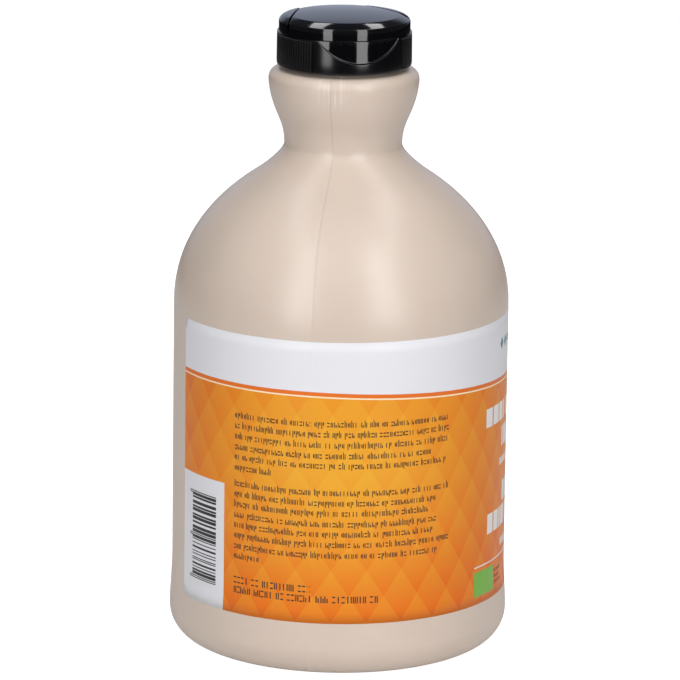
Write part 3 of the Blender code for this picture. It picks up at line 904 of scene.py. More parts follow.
SHEET_SIZES = (
    ("Rows", "NodeSocketInt", 26),
    ("Bottom", "NodeSocketFloat", LABEL_BOTTOM),
    ("Top", "NodeSocketFloat", LABEL_TOP),
    ("Corner", "NodeSocketFloat", LABEL_CORNER),
    ("Start", "NodeSocketFloat", label_start),
    ("End", "NodeSocketFloat", label_end),
    ("Thickness", "NodeSocketFloat", FILM_OUTER - FILM_INNER),
    ("Lift", "NodeSocketFloat", FILM_INNER),
)
sheet, sheet_in, sheet_out = new_piece_tree(
    "label_sheet", [("Columns", "NodeSocketObject", None), *SHEET_SIZES],
)
sheet_count = count_of(sheet, sheet_in["Columns"])
sheet_grid, sheet_row, sheet_column = numbered_grid(sheet, sheet_count, sheet_in["Rows"])
sheet_x = point_of(sheet, sheet_in["Columns"], sheet_column)[0]
from_start = calc(sheet, "SUBTRACT", sheet_x, sheet_in["Start"])
from_end = calc(sheet, "SUBTRACT", sheet_in["End"], sheet_x)
from_tip = calc(sheet, "MINIMUM", calc(sheet, "MINIMUM", from_start, from_end), sheet_in["Corner"])
corner_side = calc(sheet, "SUBTRACT", sheet_in["Corner"], from_tip)
corner_square = calc(sheet, "MULTIPLY", sheet_in["Corner"], sheet_in["Corner"])
corner_rest = calc(sheet, "SUBTRACT", corner_square, calc(sheet, "MULTIPLY", corner_side, corner_side))
corner_rest = calc(sheet, "MAXIMUM", corner_rest, 0.0)
draw_in = calc(sheet, "SUBTRACT", sheet_in["Corner"], calc(sheet, "SQRT", corner_rest))
sheet_low = calc(sheet, "ADD", sheet_in["Bottom"], draw_in)
sheet_high = calc(sheet, "SUBTRACT", sheet_in["Top"], draw_in)
row_share = calc(sheet, "DIVIDE", sheet_row, calc(sheet, "SUBTRACT", sheet_in["Rows"], 1.0))
sheet_span = calc(sheet, "SUBTRACT", sheet_high, sheet_low)
sheet_z = calc(sheet, "MULTIPLY_ADD", sheet_span, row_share, sheet_low)
sheet_flat = add_node(
    sheet, "GeometryNodeSetPosition",
    {"Geometry": sheet_grid, "Position": vector_of(sheet, sheet_x, 0.0, sheet_z)},
).outputs[0]
sheet_thick = add_node(
    sheet, "GeometryNodeExtrudeMesh",
    {
        "Mesh": sheet_flat,
        "Offset": (0.0, -1.0, 0.0),
        "Offset Scale": sheet_in["Thickness"],
        "Individual": False,
    },
)
sheet_back = add_node(sheet, "GeometryNodeFlipFaces", {"Mesh": sheet_flat})
sheet_both = add_node(sheet, "GeometryNodeJoinGeometry")
sheet.links.new(sheet_thick.outputs["Mesh"], sheet_both.inputs[0])
sheet.links.new(sheet_back.outputs[0], sheet_both.inputs[0])
sheet_closed = add_node(
    sheet, "GeometryNodeMergeByDistance", {"Geometry": sheet_both.outputs[0], "Distance": 0.002 * MM},
)
sheet_wrapped = wrapped(sheet, sheet_closed.outputs[0], sheet_in["Lift"])
sheet_smooth = add_node(sheet, "GeometryNodeSetShadeSmooth", {"Geometry": sheet_wrapped})
finish_tree(sheet, sheet_smooth.outputs[0], sheet_in["Material"], sheet_out)
sheet_values = {label: value for label, _, value in SHEET_SIZES}
grow_piece(
    "label_film", sheet, {"Columns": label_columns, "Material": label_film, **sheet_values},
)

# %% [markdown]
# ## Printed marks
# The small print can't be read: it is rows of plain marks of one or two strokes, with gaps
# between groups of them. A mark is a tiny slab, and it is instanced on a point for each
# place. The points come from a seeded random list of group lengths, because a paragraph
# is ragged at its right edge. The same tree also places the bars and the plain blocks.

# %% Slabs to be instanced
MARK_DEPTH = 0.04 * MM


def body_mesh(name, bodies):
    """A mesh of closed bodies, each from rings of points: walls between them, a face at each end."""
    shape = bmesh.new()
    for rings in bodies:
        loops = [[shape.verts.new(point) for point in ring] for ring in rings]
        for near, far in zip(loops, loops[1:]):
            for side in range(len(near)):
                after = (side + 1) % len(near)
                shape.faces.new((near[side], near[after], far[after], far[side]))
        shape.faces.new(reversed(loops[0]))
        shape.faces.new(loops[-1])
    bmesh.ops.recalc_face_normals(shape, faces=shape.faces)
    mesh = bpy.data.meshes.new(name)
    shape.to_mesh(mesh)
    shape.free()
    return mesh


def slab_rings(rectangle, columns):
    """Rings along a flat slab that faces -y, from its rectangle (x0, z0, x1, z1) in mm."""
    x0, z0, x1, z1 = rectangle
    corners = ((0.0, z0 * MM), (0.0, z1 * MM), (-MARK_DEPTH, z1 * MM), (-MARK_DEPTH, z0 * MM))
    places = [(x0 + (x1 - x0) * step / columns) * MM for step in range(columns + 1)]
    return [[(x, y, z) for y, z in corners] for x in places]


def kit_of(name, meshes):
    """A collection with one object for each mesh, for instancing."""
    kit = bpy.data.collections.new(name)
    for number, mesh in enumerate(meshes):
        kit.objects.link(bpy.data.objects.new(f"{name}_{number:02d}", mesh))
    return kit


def slab_kit(name, drawings, columns=1):
    """A kit with one mesh for each drawing, which is a list of rectangles."""
    return kit_of(name, [
        body_mesh(f"{name}_{number:02d}", [slab_rings(rectangle, columns) for rectangle in drawing])
        for number, drawing in enumerate(drawings)
    ])


STROKE = 0.25
TEXT_MARKS = (
    ((0.0, 0.0, STROKE, 1.5), (0.45, 0.0, 0.45 + STROKE, 1.5)),
    ((0.0, 0.0, STROKE, 2.1), (0.45, 0.0, 0.45 + STROKE, 1.5)),
    ((0.0, 0.0, STROKE, 1.5), (0.42, 0.0, 0.75, 0.8)),
    ((0.0, -0.45, STROKE, 1.5), (0.42, 0.55, 0.75, 1.5)),
    ((0.0, 0.05, 0.72, 0.42), (0.0, 1.05, 0.72, 1.42)),
    ((0.15, 0.0, 0.15 + STROKE, 1.5),),
    ((0.0, 0.2, 0.3, 1.3), (0.45, 0.0, 0.45 + STROKE, 1.5)),
)
CAPITAL_MARKS = (
    ((0.0, 0.0, 0.34, 2.05), (0.62, 0.0, 0.96, 2.05)),
    ((0.0, 0.0, 0.34, 2.05), (0.62, 0.0, 0.96, 1.4)),
    ((0.0, 0.0, 0.96, 0.4), (0.0, 1.65, 0.96, 2.05)),
    ((0.3, 0.0, 0.66, 2.05),),
)
UNIT_SQUARE = (((0.0, 0.0, 1.0, 1.0),),)
text_kit = slab_kit("text_mark", TEXT_MARKS)
capital_kit = slab_kit("capital_mark", CAPITAL_MARKS)
print(len(TEXT_MARKS) + len(CAPITAL_MARKS), "marks drawn")

# %% Geometry tree that stamps marks
stamp, stamp_in, stamp_out = new_piece_tree(
    "stamp_marks",
    [
        ("Points", "NodeSocketObject", None),
        ("Marks", "NodeSocketCollection", None),
        ("Seed", "NodeSocketInt", 0),
        ("Last mark", "NodeSocketInt", 0),
        ("Lift", "NodeSocketFloat", 0.0),
    ],
)
stamp_points = add_node(stamp, "GeometryNodeObjectInfo", {"Object": stamp_in["Points"]})
stamp_kit = add_node(
    stamp, "GeometryNodeCollectionInfo",
    {"Collection": stamp_in["Marks"], "Separate Children": True},
)
stamp_pick = add_node(
    stamp, "FunctionNodeRandomValue", {"Seed": stamp_in["Seed"]}, data_type="INT",
)
stamp.links.new(stamp_in["Last mark"], stamp_pick.inputs[5])
stamp_size = add_node(
    stamp, "GeometryNodeInputNamedAttribute", {"Name": "mark_size"}, data_type="FLOAT_VECTOR",
)
stamp_instances = add_node(
    stamp, "GeometryNodeInstanceOnPoints",
    {
        "Points": stamp_points.outputs["Geometry"],
        "Instance": stamp_kit.outputs[0],
        "Pick Instance": True,
        "Instance Index": stamp_pick.outputs[2],
        "Scale": stamp_size.outputs[0],
    },
)
stamp_real = add_node(stamp, "GeometryNodeRealizeInstances", {0: stamp_instances.outputs[0]})
stamp_wrapped = wrapped(stamp, stamp_real.outputs[0], stamp_in["Lift"])
finish_tree(stamp, stamp_wrapped, stamp_in["Material"], stamp_out)
print("stamp_marks has", len(stamp.nodes), "nodes")


def stamped(name, marks, kit, seed, material):
    holder = point_list(name + "_points", [(x, 0.0, z) for x, z, _, _ in marks])
    scale = holder.data.attributes.new("mark_size", "FLOAT_VECTOR", "POINT")
    for item, (_, _, wide, high) in zip(scale.data, marks):
        item.vector = (wide, 1.0, high)
    values = {
        "Points": holder,
        "Marks": kit,
        "Seed": seed,
        "Last mark": len(kit.objects) - 1,
        "Lift": FILM_OUTER - 0.5 * MARK_DEPTH,
        "Material": material,
    }
    return grow_piece(name, stamp, values)


# %% Inks for the marks
DARK_INK = (0.030, 0.014, 0.008)
BLACK_INK = (0.010, 0.010, 0.012)
GREEN_INK = (0.17, 0.456, 0.045)
TEAL_INK = (0.02, 0.17, 0.18)
PRINT_WHITE = (0.80, 0.79, 0.78)
INK_SPECKS_PER_METRE = 1400.0
INK_FADE_SHARE = 0.16
INK_FADE_STEP = 0.08


def ink(name, colour):
    """A printed ink under the film, with small specks where it is a little paler."""
    material, tree, shader = plain_material(name, colour, PRINT_ROUGHNESS, IOR=PRINT_IOR)
    place = add_node(tree, "ShaderNodeTexCoord").outputs["Object"]
    specks = noise(tree, place, INK_SPECKS_PER_METRE, 2.0)
    share = remap(tree, specks, 0.35, 0.75, 0.0, INK_FADE_SHARE)
    paler = tuple(value + INK_FADE_STEP * (1 - value) for value in colour)
    tree.links.new(mix_colour(tree, share, colour, paler), shader.inputs["Base Color"])
    give_film(tree, shader)
    return material


dark_ink = ink("ink_dark", DARK_INK)
black_ink = ink("ink_black", BLACK_INK)
white_ink = ink("ink_white", PRINT_WHITE)
green_ink = ink("ink_green", GREEN_INK)
teal_ink = ink("ink_teal", TEAL_INK)

# %% Small print
MARK_PITCH = 1.0 * MM
PITCH_RANGE = (0.88, 1.12)
GROUP_GAP = 0.7
GROUP_LENGTHS = (2, 2, 3, 3, 4, 5, 6, 7, 8, 9, 11)
TEXT_LEFT = -37.6
TEXT_ROWS = (
    (78.4, 40.0), (75.25, 40.5), (72.0, 39.3), (68.75, 33.5), (65.7, 38.8), (62.4, -23.3),
    (57.5, 40.0), (54.3, 35.3), (51.2, 31.6), (47.9, 36.4), (44.8, 33.7), (41.6, 40.4),
    (38.3, 36.1), (35.2, -26.8),
)
TEXT_HALF_HEIGHT = 0.8
CAPITAL_ROWS = ((27.8, -9.5), (24.8, 14.0))
CAPITAL_HALF_HEIGHT = 1.0
CAPITAL_WIDENING = 1.3
SECOND_BLOCK_TURN = 199.0
chance = random.Random(11)


def mark_row(left, right, centre, half_height, pitch, size=(1.0, 1.0)):
    """One row of marks: groups of random lengths with a gap between them; heights are in mm."""
    marks = []
    x = left
    while x < right - pitch:
        for _ in range(chance.choice(GROUP_LENGTHS)):
            if x < right - 0.5 * pitch:
                marks.append((x, centre * MM - half_height * MM, *size))
                x += pitch * chance.uniform(*PITCH_RANGE)
        x += GROUP_GAP * pitch
    return marks


text_marks = []
capital_marks = []
for shift in (0.0, SECOND_BLOCK_TURN):
    left = along(TEXT_LEFT + shift)
    for centre, right in TEXT_ROWS:
        text_marks += mark_row(left, along(right + shift), centre, TEXT_HALF_HEIGHT, MARK_PITCH)
    for centre, right in CAPITAL_ROWS:
        pitch = CAPITAL_WIDENING * MARK_PITCH
        capital_marks += mark_row(left, along(right + shift), centre, CAPITAL_HALF_HEIGHT, pitch)
print(len(text_marks), "text marks,", len(capital_marks), "capitals")
stamped("small_print", text_marks, text_kit, 3, dark_ink)
stamped("capital_print", capital_marks, capital_kit, 4, dark_ink)

# %% [markdown]
# ## Bars
# The bars beside the small print are laid across the label. They encode nothing: their widths
# and gaps are drawn from a seeded random list in whole modules, and the first, middle and
# last pair stand out further to the left, as such bars do.

# %% Draw the bars
BAR_LEFT = along(LABEL_START) + 5.7 * MM
BAR_LENGTH = 11.9 * MM
BAR_LOW = 24.25 * MM
BAR_HIGH = 51.4 * MM
BAR_MODULES = 95
BAR_LONGER = 1.5 * MM
BAR_INK_SPREAD = 1.1
LONG_BAR_STARTS = (0, 2, 46, 48, 92, 94)
BAR_WIDTHS = (1, 1, 2, 2, 3)
BAR_GAPS = (1, 1, 2, 3)

module = (BAR_HIGH - BAR_LOW) / BAR_MODULES
bar_chance = random.Random(29)
bars = []
position = 0
while position < BAR_MODULES:
    long_bar = position in LONG_BAR_STARTS
    width = 1 if long_bar else bar_chance.choice(BAR_WIDTHS)
    gap = 1 if long_bar else bar_chance.choice(BAR_GAPS)
    following = min((start for start in LONG_BAR_STARTS if start > position), default=BAR_MODULES)
    width = min(width, following - position)
    longer = BAR_LONGER if long_bar else 0.0
    bars.append((
        BAR_LEFT - longer,
        BAR_LOW + position * module,
        (BAR_LENGTH + longer) / MM,
        BAR_INK_SPREAD * width * module / MM,
    ))
    position = min(position + width + gap, following)
print(len(bars), "bars")
stamped("label_bars", bars, slab_kit("bar", UNIT_SQUARE, columns=10), 1, black_ink)

# %% [markdown]
# ## Blocks, badge and lozenges on the front panel
# The front panel starts at the right edge of the view. Bold rows are rows of plain white
# blocks, light rows are thinner ones, and a thin rule runs under them. The badge is a plain
# green patch with pale lozenges on it. A row of teal lozenges stands on the white band.

# %% Draw the front panel
FRONT_CENTRE = 100.0
BOLD_ROWS = ((71.2, 77.0, 60.0), (62.8, 69.0, 74.6), (45.3, 51.6, 76.5), (37.8, 44.0, 62.1))
BOLD_WIDTHS = (3.4, 3.8, 4.2, 1.5)
BOLD_GAP = 0.8 * MM
BOLD_GROUP_GAP = 2.6 * MM
BOLD_GROUP = 5
BOLD_SPARE = 1.5 * MM
LIGHT_ROWS = ((57.2, 59.4, 72.3), (31.6, 33.9, 74.8))
LIGHT_WIDTHS = (1.2, 1.4, 0.6)
LIGHT_GAPS = (0.5, 0.5, 0.5, 1.4)
LIGHT_SPARE = 1.0 * MM
RULE_HEIGHT = 28.7 * MM
RULE_WIDTH = 0.4
RULE_LEFT = 53.9

block_chance = random.Random(5)
blocks = []
for low, high, left_turn in BOLD_ROWS:
    x = along(left_turn)
    right = along(2 * FRONT_CENTRE - left_turn)
    count = 0
    while x < right - BOLD_SPARE:
        width = block_chance.choice(BOLD_WIDTHS) * MM
        blocks.append((x, low * MM, width / MM, high - low))
        count += 1
        x += width + (BOLD_GROUP_GAP if count % BOLD_GROUP == BOLD_GROUP - 1 else BOLD_GAP)
for low, high, left_turn in LIGHT_ROWS:
    x = along(left_turn)
    right = along(2 * FRONT_CENTRE - left_turn)
    while x < right - LIGHT_SPARE:
        width = block_chance.choice(LIGHT_WIDTHS) * MM
        blocks.append((x, low * MM, width / MM, high - low))
        x += width + block_chance.choice(LIGHT_GAPS) * MM
stamped("headings", blocks, slab_kit("block", UNIT_SQUARE, columns=4), 2, white_ink)
rule_length = along(2 * (FRONT_CENTRE - RULE_LEFT)) / MM
rule_mark = (along(RULE_LEFT), RULE_HEIGHT, rule_length, RULE_WIDTH)
stamped("heading_rule", [rule_mark], slab_kit("rule", UNIT_SQUARE, columns=60), 2, white_ink)

# %% Badge and teal lozenges
BADGE_TURNS = (53.7, 67.4)
BADGE_HEIGHTS = (19.7, 27.4)
BADGE_LOZENGE = (2.4, 3.8)
BADGE_LOZENGE_STEP = 3.0 * MM
BADGE_ROWS = ((25.2, 75.0), (23.3, 73.5), (21.6, 75.5))
BADGE_ROWS_LEFT = 68.3
BADGE_ROW_HALF_HEIGHT = 0.4
BADGE_ROW_PITCH = 0.7 * MM
BADGE_MARK_SIZE = (0.6, 0.55)
TEAL_HEIGHTS = (93.2, 97.0)
TEAL_LEFT = 71.3
TEAL_COUNT = 12
TEAL_FIRST = 1.5
TEAL_STEP = 4.1
TEAL_WIDTH = 3.0

LOZENGE_CORNERS = ((0.0, -0.5), (0.5, 0.0), (0.0, 0.5), (-0.5, 0.0))
lozenge_rings = [[(x * MM, y, z * MM) for x, z in LOZENGE_CORNERS] for y in (0.0, -MARK_DEPTH)]
lozenge_kit = kit_of("small_lozenge", [body_mesh("small_lozenge", [lozenge_rings])])

badge_left, badge_right = (along(turn) for turn in BADGE_TURNS)
badge_low, badge_high = BADGE_HEIGHTS
badge_mark = (badge_left, badge_low * MM, (badge_right - badge_left) / MM, badge_high - badge_low)
stamped("badge", [badge_mark], slab_kit("badge", UNIT_SQUARE, columns=10), 6, green_ink)
badge_middle = (badge_low + badge_high) / 2 * MM
badge_centre = (badge_left + badge_right) / 2
pale_lozenges = [
    (badge_centre + step * BADGE_LOZENGE_STEP, badge_middle, *BADGE_LOZENGE) for step in (-1, 0, 1)
]
stamped("badge_lozenges", pale_lozenges, lozenge_kit, 6, white_ink)
teal_low, teal_high = TEAL_HEIGHTS
teal_row = []
for number in range(TEAL_COUNT):
    x = along(TEAL_LEFT) + (TEAL_FIRST + TEAL_STEP * number) * MM
    teal_row.append((x, (teal_low + teal_high) / 2 * MM, TEAL_WIDTH, teal_high - teal_low))
stamped("teal_lozenges", teal_row, lozenge_kit, 6, teal_ink)
badge_marks = []
for centre, right in BADGE_ROWS:
    badge_marks += mark_row(
        along(BADGE_ROWS_LEFT), along(right), centre, BADGE_ROW_HALF_HEIGHT, BADGE_ROW_PITCH, BADGE_MARK_SIZE,
    )
stamped("badge_print", badge_marks, text_kit, 7, dark_ink)

# %% [markdown]
# ## Finish of the cap
# The cap is glossy black polypropylene. The flip lid shows clear reflections, and the grip of
# the skirt looks duller because its fine ribs scatter them. Both share the moulded skin group
# with other values, and a little dust in the rubbed places.

# %% Materials of the cap
CAP_BLACK = (0.0022, 0.0022, 0.0030)
CAP_DUST = (0.03, 0.03, 0.034)
CAP_GLOSS_CHANGE = 0.03
CAP_RUBBED_CHANGE = 0.02


def cap_material(name, roughness, dust_share, grain_depth, **extra):
    """Black moulded plastic with its own gloss."""
    material, tree, shader = plain_material(name, CAP_BLACK, roughness, IOR=1.5, **extra)
    outputs = skin_of(tree, 2200.0, 160.0, 520.0)
    share = calc(tree, "MULTIPLY", outputs["Rubbed"], dust_share)
    tree.links.new(mix_colour(tree, share, CAP_BLACK, CAP_DUST), shader.inputs["Base Color"])
    rough = calc(tree, "MULTIPLY_ADD", outputs["Gloss change"], CAP_GLOSS_CHANGE, roughness)
    rough = calc(tree, "MULTIPLY_ADD", outputs["Rubbed"], CAP_RUBBED_CHANGE, rough)
    tree.links.new(rough, shader.inputs["Roughness"])
    add_bump(tree, shader, outputs["Height"], grain_depth)
    return material


cap_gloss = cap_material("cap_gloss", 0.07, 0.10, 0.0003 * MM)
cap_panel = cap_material("cap_panel", 0.19, 0.15, 0.0006 * MM)
cap_satin = cap_material("cap_satin", 0.40, 0.25, 0.0015 * MM, Specular_IOR_Level=0.25)

# %% [markdown]
# ## The cap's skirt
# The skirt is turned too, but two things break its round: a lens-shaped thumb recess at the
# front, with a ledge that slopes out and down to a curved lip, and a notch for the hinge at
# the back. The recess's back wall is flatter than the skirt. Cutting them with Booleans would
# leave slivers along a curved lip. Instead the skirt is a sheet of columns, and in each
# column the rows follow the lip, so its rounding is even all the way along.

# %% Sizes of the cap
CAP_FRONT = 15.0
CAP_BOTTOM = 176.65 * MM
FOOT_WIDTH = 0.5 * MM
FOOT_TOP = CAP_BOTTOM + 0.7 * MM
CROWN_TOP = 180.2 * MM
CROWN_IN = 0.2 * MM
SKIRT_BOTTOM_RADIUS = 20.35 * MM
SKIRT_TOP_RADIUS = 20.15 * MM
SKIRT_ROUND = 0.15 * MM
DECK = 186.85 * MM
BORE_RADIUS = 16.1 * MM
BORE_TOP = 185.2 * MM
RECESS_RADIUS = 14.95 * MM
RECESS_CENTRE = 194.9 * MM
RECESS_WALL_RADIUS = 21.56 * MM
RECESS_WALL_SETBACK = 2.1 * MM
LEDGE_STEEPNESS = 2.0
LIP_SOFT = 0.06 * MM
GRIP_DEPTH = 0.25 * MM
GRIP_BOTTOM = 177.25 * MM
GRIP_TOP = 186.3 * MM
GRIP_END = 0.3 * MM
GRIP_SIDE = 1.2
SMOOTH_HALF = 42.0
NOTCH_HALF = 6.3 * MM
NOTCH_FLOOR = 185.45 * MM
NOTCH_DEPTH = 1.3 * MM
NOTCH_FLOOR_START = -0.5 * MM
NOTCH_FLOOR_SLOPE = 0.4
NOTCH_EDGE_START = 0.1 * MM
NOTCH_EDGE = 0.3 * MM


def soft_max(value, floor, softness):
    """The larger of two lengths, with the corner between them rounded."""
    gap = value - floor
    return floor + 0.5 * (gap + math.sqrt(gap * gap + softness * softness))


def cap_point(turn, radius, height):
    """A point of the cap at an angle in degrees from its front."""
    azimuth = math.radians(CAP_FRONT + turn)
    return radius * math.sin(azimuth), -radius * math.cos(azimuth), height


def skirt_radius(height):
    """The skirt's radius: it widens downwards, crowns in a little and rounds off at the foot."""
    share = held((height - FOOT_TOP) / (DECK - FOOT_TOP))
    low = max((CROWN_TOP - height) / (CROWN_TOP - CAP_BOTTOM), 0.0)
    drawn = held((FOOT_TOP - height) / (FOOT_TOP - CAP_BOTTOM))
    inset = FOOT_WIDTH * (1 - math.sqrt(1 - drawn * drawn)) + CROWN_IN * low * low
    return SKIRT_BOTTOM_RADIUS + (SKIRT_TOP_RADIUS - SKIRT_BOTTOM_RADIUS) * share - inset


def recess_cut(turn, inside):
    """How far the thumb recess cuts in, at a distance inside its lip; its back wall is flatter."""
    aside = RECESS_WALL_SETBACK * math.sin(math.radians(turn))
    behind = RECESS_WALL_SETBACK * math.cos(math.radians(turn))
    depth = SKIRT_TOP_RADIUS - math.sqrt(RECESS_WALL_RADIUS ** 2 - aside ** 2) + behind
    slope = soft_max(inside * LEDGE_STEEPNESS, 0.0, LIP_SOFT)
    return max(depth - soft_max(depth - slope, 0.0, 1.6 * LIP_SOFT), 0.0)


def grip_cut(turn, height):
    """How far the grip's root lies below the skirt's surface."""
    beyond = soft_step((abs(turn) - SMOOTH_HALF) / GRIP_SIDE)
    above = soft_step((height - GRIP_BOTTOM) / GRIP_END)
    below = soft_step((GRIP_TOP - height) / GRIP_END)
    return GRIP_DEPTH * beyond * above * below


print("the skirt is", round(2 * skirt_radius(GRIP_BOTTOM) / MM, 2), "mm across above its foot")


# %% [markdown]
# ## Columns of the skirt
# Every column has the same rows: a few on the deck, the rounded top edge, a row for each step
# across the lip, then rows down the grip, the rounded foot and the bore. Away from the recess
# the lip's rows simply lie together at the top and are merged.

# %% Build the skirt
LIP_STEPS = (-0.4, -0.22, -0.12, -0.06, -0.02, 0.02, 0.06, 0.11, 0.17, 0.23, 0.29, 0.34, 0.39,
             0.44, 0.49, 0.55, 0.65, 0.85, 1.3, 2.2, 3.4, 4.8, 6.4)
GRIP_START_STEPS = (-0.1, 0.05, 0.15, 0.25, 0.35)
GRIP_END_STEPS = (0.35, 0.25, 0.15, 0.05, -0.05)
GRIP_SHARES = (0.08, 0.16, 0.28, 0.45, 0.6, 0.8)
GRIP_UNDER_LIP = 0.02 * MM
FOOT_STEPS = (0.42, 0.33, 0.24, 0.16, 0.09, 0.03, 0.0)
DECK_RADII = (0.0, 12.0, 17.5)
EDGE_ANGLES = (30, 60, 90)
GLOSS_ROWS = len(DECK_RADII) + len(EDGE_ANGLES) + sum(1 for step in LIP_STEPS if step > -0.1)
WALL_TOP = DECK - SKIRT_ROUND


def lip_height(sideways, inside):
    """The height in a column at a distance inside the recess's lip."""
    reach = (RECESS_RADIUS - inside) ** 2 - sideways ** 2
    if reach <= 0.0:
        return WALL_TOP
    return min(RECESS_CENTRE - math.sqrt(reach), WALL_TOP)


def lip_rows(turn):
    """Height and depth of cut of a column's rows across the lip, or across the hinge notch."""
    sideways = SKIRT_BOTTOM_RADIUS * math.sin(math.radians(turn))
    rows = []
    for step in LIP_STEPS:
        inside = step * MM
        height = WALL_TOP
        cut = 0.0
        if abs(turn) < 90.0:
            height = lip_height(sideways, inside)
            cut = recess_cut(turn, RECESS_RADIUS - math.hypot(sideways, RECESS_CENTRE - height))
        elif abs(sideways) < NOTCH_HALF:
            rise = max(inside, NOTCH_FLOOR_START) * NOTCH_FLOOR_SLOPE
            height = min(NOTCH_FLOOR + rise, WALL_TOP)
            cut = NOTCH_DEPTH * soft_step((inside + NOTCH_EDGE_START) / NOTCH_EDGE)
        rows.append((height, cut))
    return rows


def skirt_column(turn):
    """The profile of the skirt at an angle, from the axis over the deck, outside and bore."""
    across = lip_rows(turn)
    grip_start = [GRIP_BOTTOM + step * MM for step in GRIP_START_STEPS]
    grip_end = [GRIP_TOP - step * MM for step in GRIP_END_STEPS]
    grip_span = grip_end[0] - grip_start[-1]
    grip_middle = [grip_start[-1] + share * grip_span for share in GRIP_SHARES]
    wall_points = []
    for height in grip_start + grip_middle + grip_end:
        level = min(height, across[0][0] - GRIP_UNDER_LIP)
        wall_points.append((skirt_radius(level) - grip_cut(turn, level), level))
    for height, cut in across:
        wall_points.append((skirt_radius(height) - cut - grip_cut(turn, height), height))
    for angle in EDGE_ANGLES:
        bend = math.radians(angle)
        inset = SKIRT_ROUND * (1 - math.cos(bend))
        height = DECK - SKIRT_ROUND * (1 - math.sin(bend))
        wall_points.append((skirt_radius(height) - across[-1][1] - inset, height))
    foot = [CAP_BOTTOM + step * MM for step in FOOT_STEPS]
    bottom = [(skirt_radius(height), height) for height in foot]
    bottom += [(BORE_RADIUS, CAP_BOTTOM), (BORE_RADIUS, BORE_TOP), (0.0, BORE_TOP)]
    deck_run = [(radius * MM, DECK) for radius in DECK_RADII]
    return deck_run + wall_points[::-1] + bottom


def column_sheet(columns):
    """Faces between neighbouring columns of points that close on themselves."""
    shape = bmesh.new()
    rails = [[shape.verts.new(point) for point in column] for column in columns]
    for left, right in zip(rails, rails[1:] + rails[:1]):
        for row in range(len(left) - 1):
            face = shape.faces.new((left[row], left[row + 1], right[row + 1], right[row]))
            face.material_index = 1 if row < GLOSS_ROWS else 0
    bmesh.ops.remove_doubles(shape, verts=shape.verts, dist=0.003 * MM)
    bmesh.ops.dissolve_degenerate(shape, edges=shape.edges, dist=0.002 * MM)
    mesh = bpy.data.meshes.new("column_sheet")
    shape.to_mesh(mesh)
    shape.free()
    return mesh


def smooth_piece(name, mesh, material, sharp_angle):
    """Place a mesh as a smooth-shaded piece whose sharp edges stay sharp."""
    mesh.materials.append(material)
    mesh.shade_smooth()
    mesh.set_sharp_from_angle(angle=math.radians(sharp_angle))
    return place_piece(name, mesh)


RECESS_TURNS = [-45.0 + 0.3 * step for step in range(301)]
OTHER_TURNS = [45.0 + 2.5 * step for step in range(1, 108)]
NOTCH_TURN = math.degrees(math.asin(NOTCH_HALF / SKIRT_BOTTOM_RADIUS))

skirt_turns = RECESS_TURNS + OTHER_TURNS
for edge in (180.0 - NOTCH_TURN, 180.0 + NOTCH_TURN):
    skirt_turns = [t for t in skirt_turns if abs(t - edge) > 0.5]
    skirt_turns += [edge - 0.15, edge + 0.15]
skirt_columns = []
for turn in sorted(skirt_turns):
    folded = turn if turn <= 180.0 else turn - 360.0
    skirt_columns.append([cap_point(turn, radius, height) for radius, height in skirt_column(folded)])
cap_skirt = smooth_piece("cap_skirt", column_sheet(skirt_columns), cap_panel, 60.0)
cap_skirt.data.materials.append(cap_gloss)

# %% [markdown]
# ## Grip ribs
# Fine upright ribs go round the skirt, except on the smooth panel at the front. One rib is a
# small rounded bar, and Geometry Nodes repeat it: a point for each rib, turned by its index.

# %% Rib and its tree
RIB_PITCH = 360.0 / 128
RIB_HALF_WIDTH = 0.36 * MM
RIB_SIDE = ((0.45, 1.0), (0.75, 0.93), (0.92, 0.7))
RIB_SINK = 0.06 * MM
RIB_LOW = GRIP_BOTTOM + 0.05 * MM
RIB_HIGH = GRIP_TOP - 0.05 * MM
RIB_END = ((0.0, 0.2), (0.2 * MM, 0.8), (0.5 * MM, 1.0))


def rib_rings():
    """Rings up one rib at the angle 0, which is rounded off at both ends."""
    levels = [(RIB_LOW + step, share) for step, share in RIB_END]
    levels += [(RIB_HIGH - step, share) for step, share in reversed(RIB_END)]
    rings = []
    for height, share in levels:
        base = skirt_radius(height) - GRIP_DEPTH
        half = [(side * RIB_HALF_WIDTH, GRIP_DEPTH * share * out) for side, out in RIB_SIDE]
        half.append((RIB_HALF_WIDTH, -RIB_SINK))
        ring = [(-x, out) for x, out in half[::-1]] + half
        rings.append([(x, -(base + out), height) for x, out in ring])
    return rings


rib_mesh = body_mesh("rib", [rib_rings()])
rib_mesh.shade_smooth()
rib = bpy.data.objects.new("rib", rib_mesh)
ribs, ribs_in, ribs_out = new_piece_tree(
    "ribs_round_skirt",
    [
        ("Rib", "NodeSocketObject", None),
        ("Count", "NodeSocketInt", 10),
        ("First turn", "NodeSocketFloat", 0.0),
        ("Pitch", "NodeSocketFloat", 0.05),
    ],
)
rib_points = add_node(ribs, "GeometryNodePoints", {"Count": ribs_in["Count"]})
rib_object = add_node(ribs, "GeometryNodeObjectInfo", {"Object": ribs_in["Rib"]})
rib_index = add_node(ribs, "GeometryNodeInputIndex").outputs[0]
rib_turn = calc(ribs, "MULTIPLY_ADD", rib_index, ribs_in["Pitch"], ribs_in["First turn"])
rib_instances = add_node(
    ribs, "GeometryNodeInstanceOnPoints",
    {
        "Points": rib_points.outputs[0],
        "Instance": rib_object.outputs["Geometry"],
        "Rotation": vector_of(ribs, 0.0, 0.0, rib_turn),
    },
)
finish_tree(ribs, rib_instances.outputs[0], ribs_in["Material"], ribs_out)
rib_count = int((360.0 - 2 * (SMOOTH_HALF + 1.0)) / RIB_PITCH)
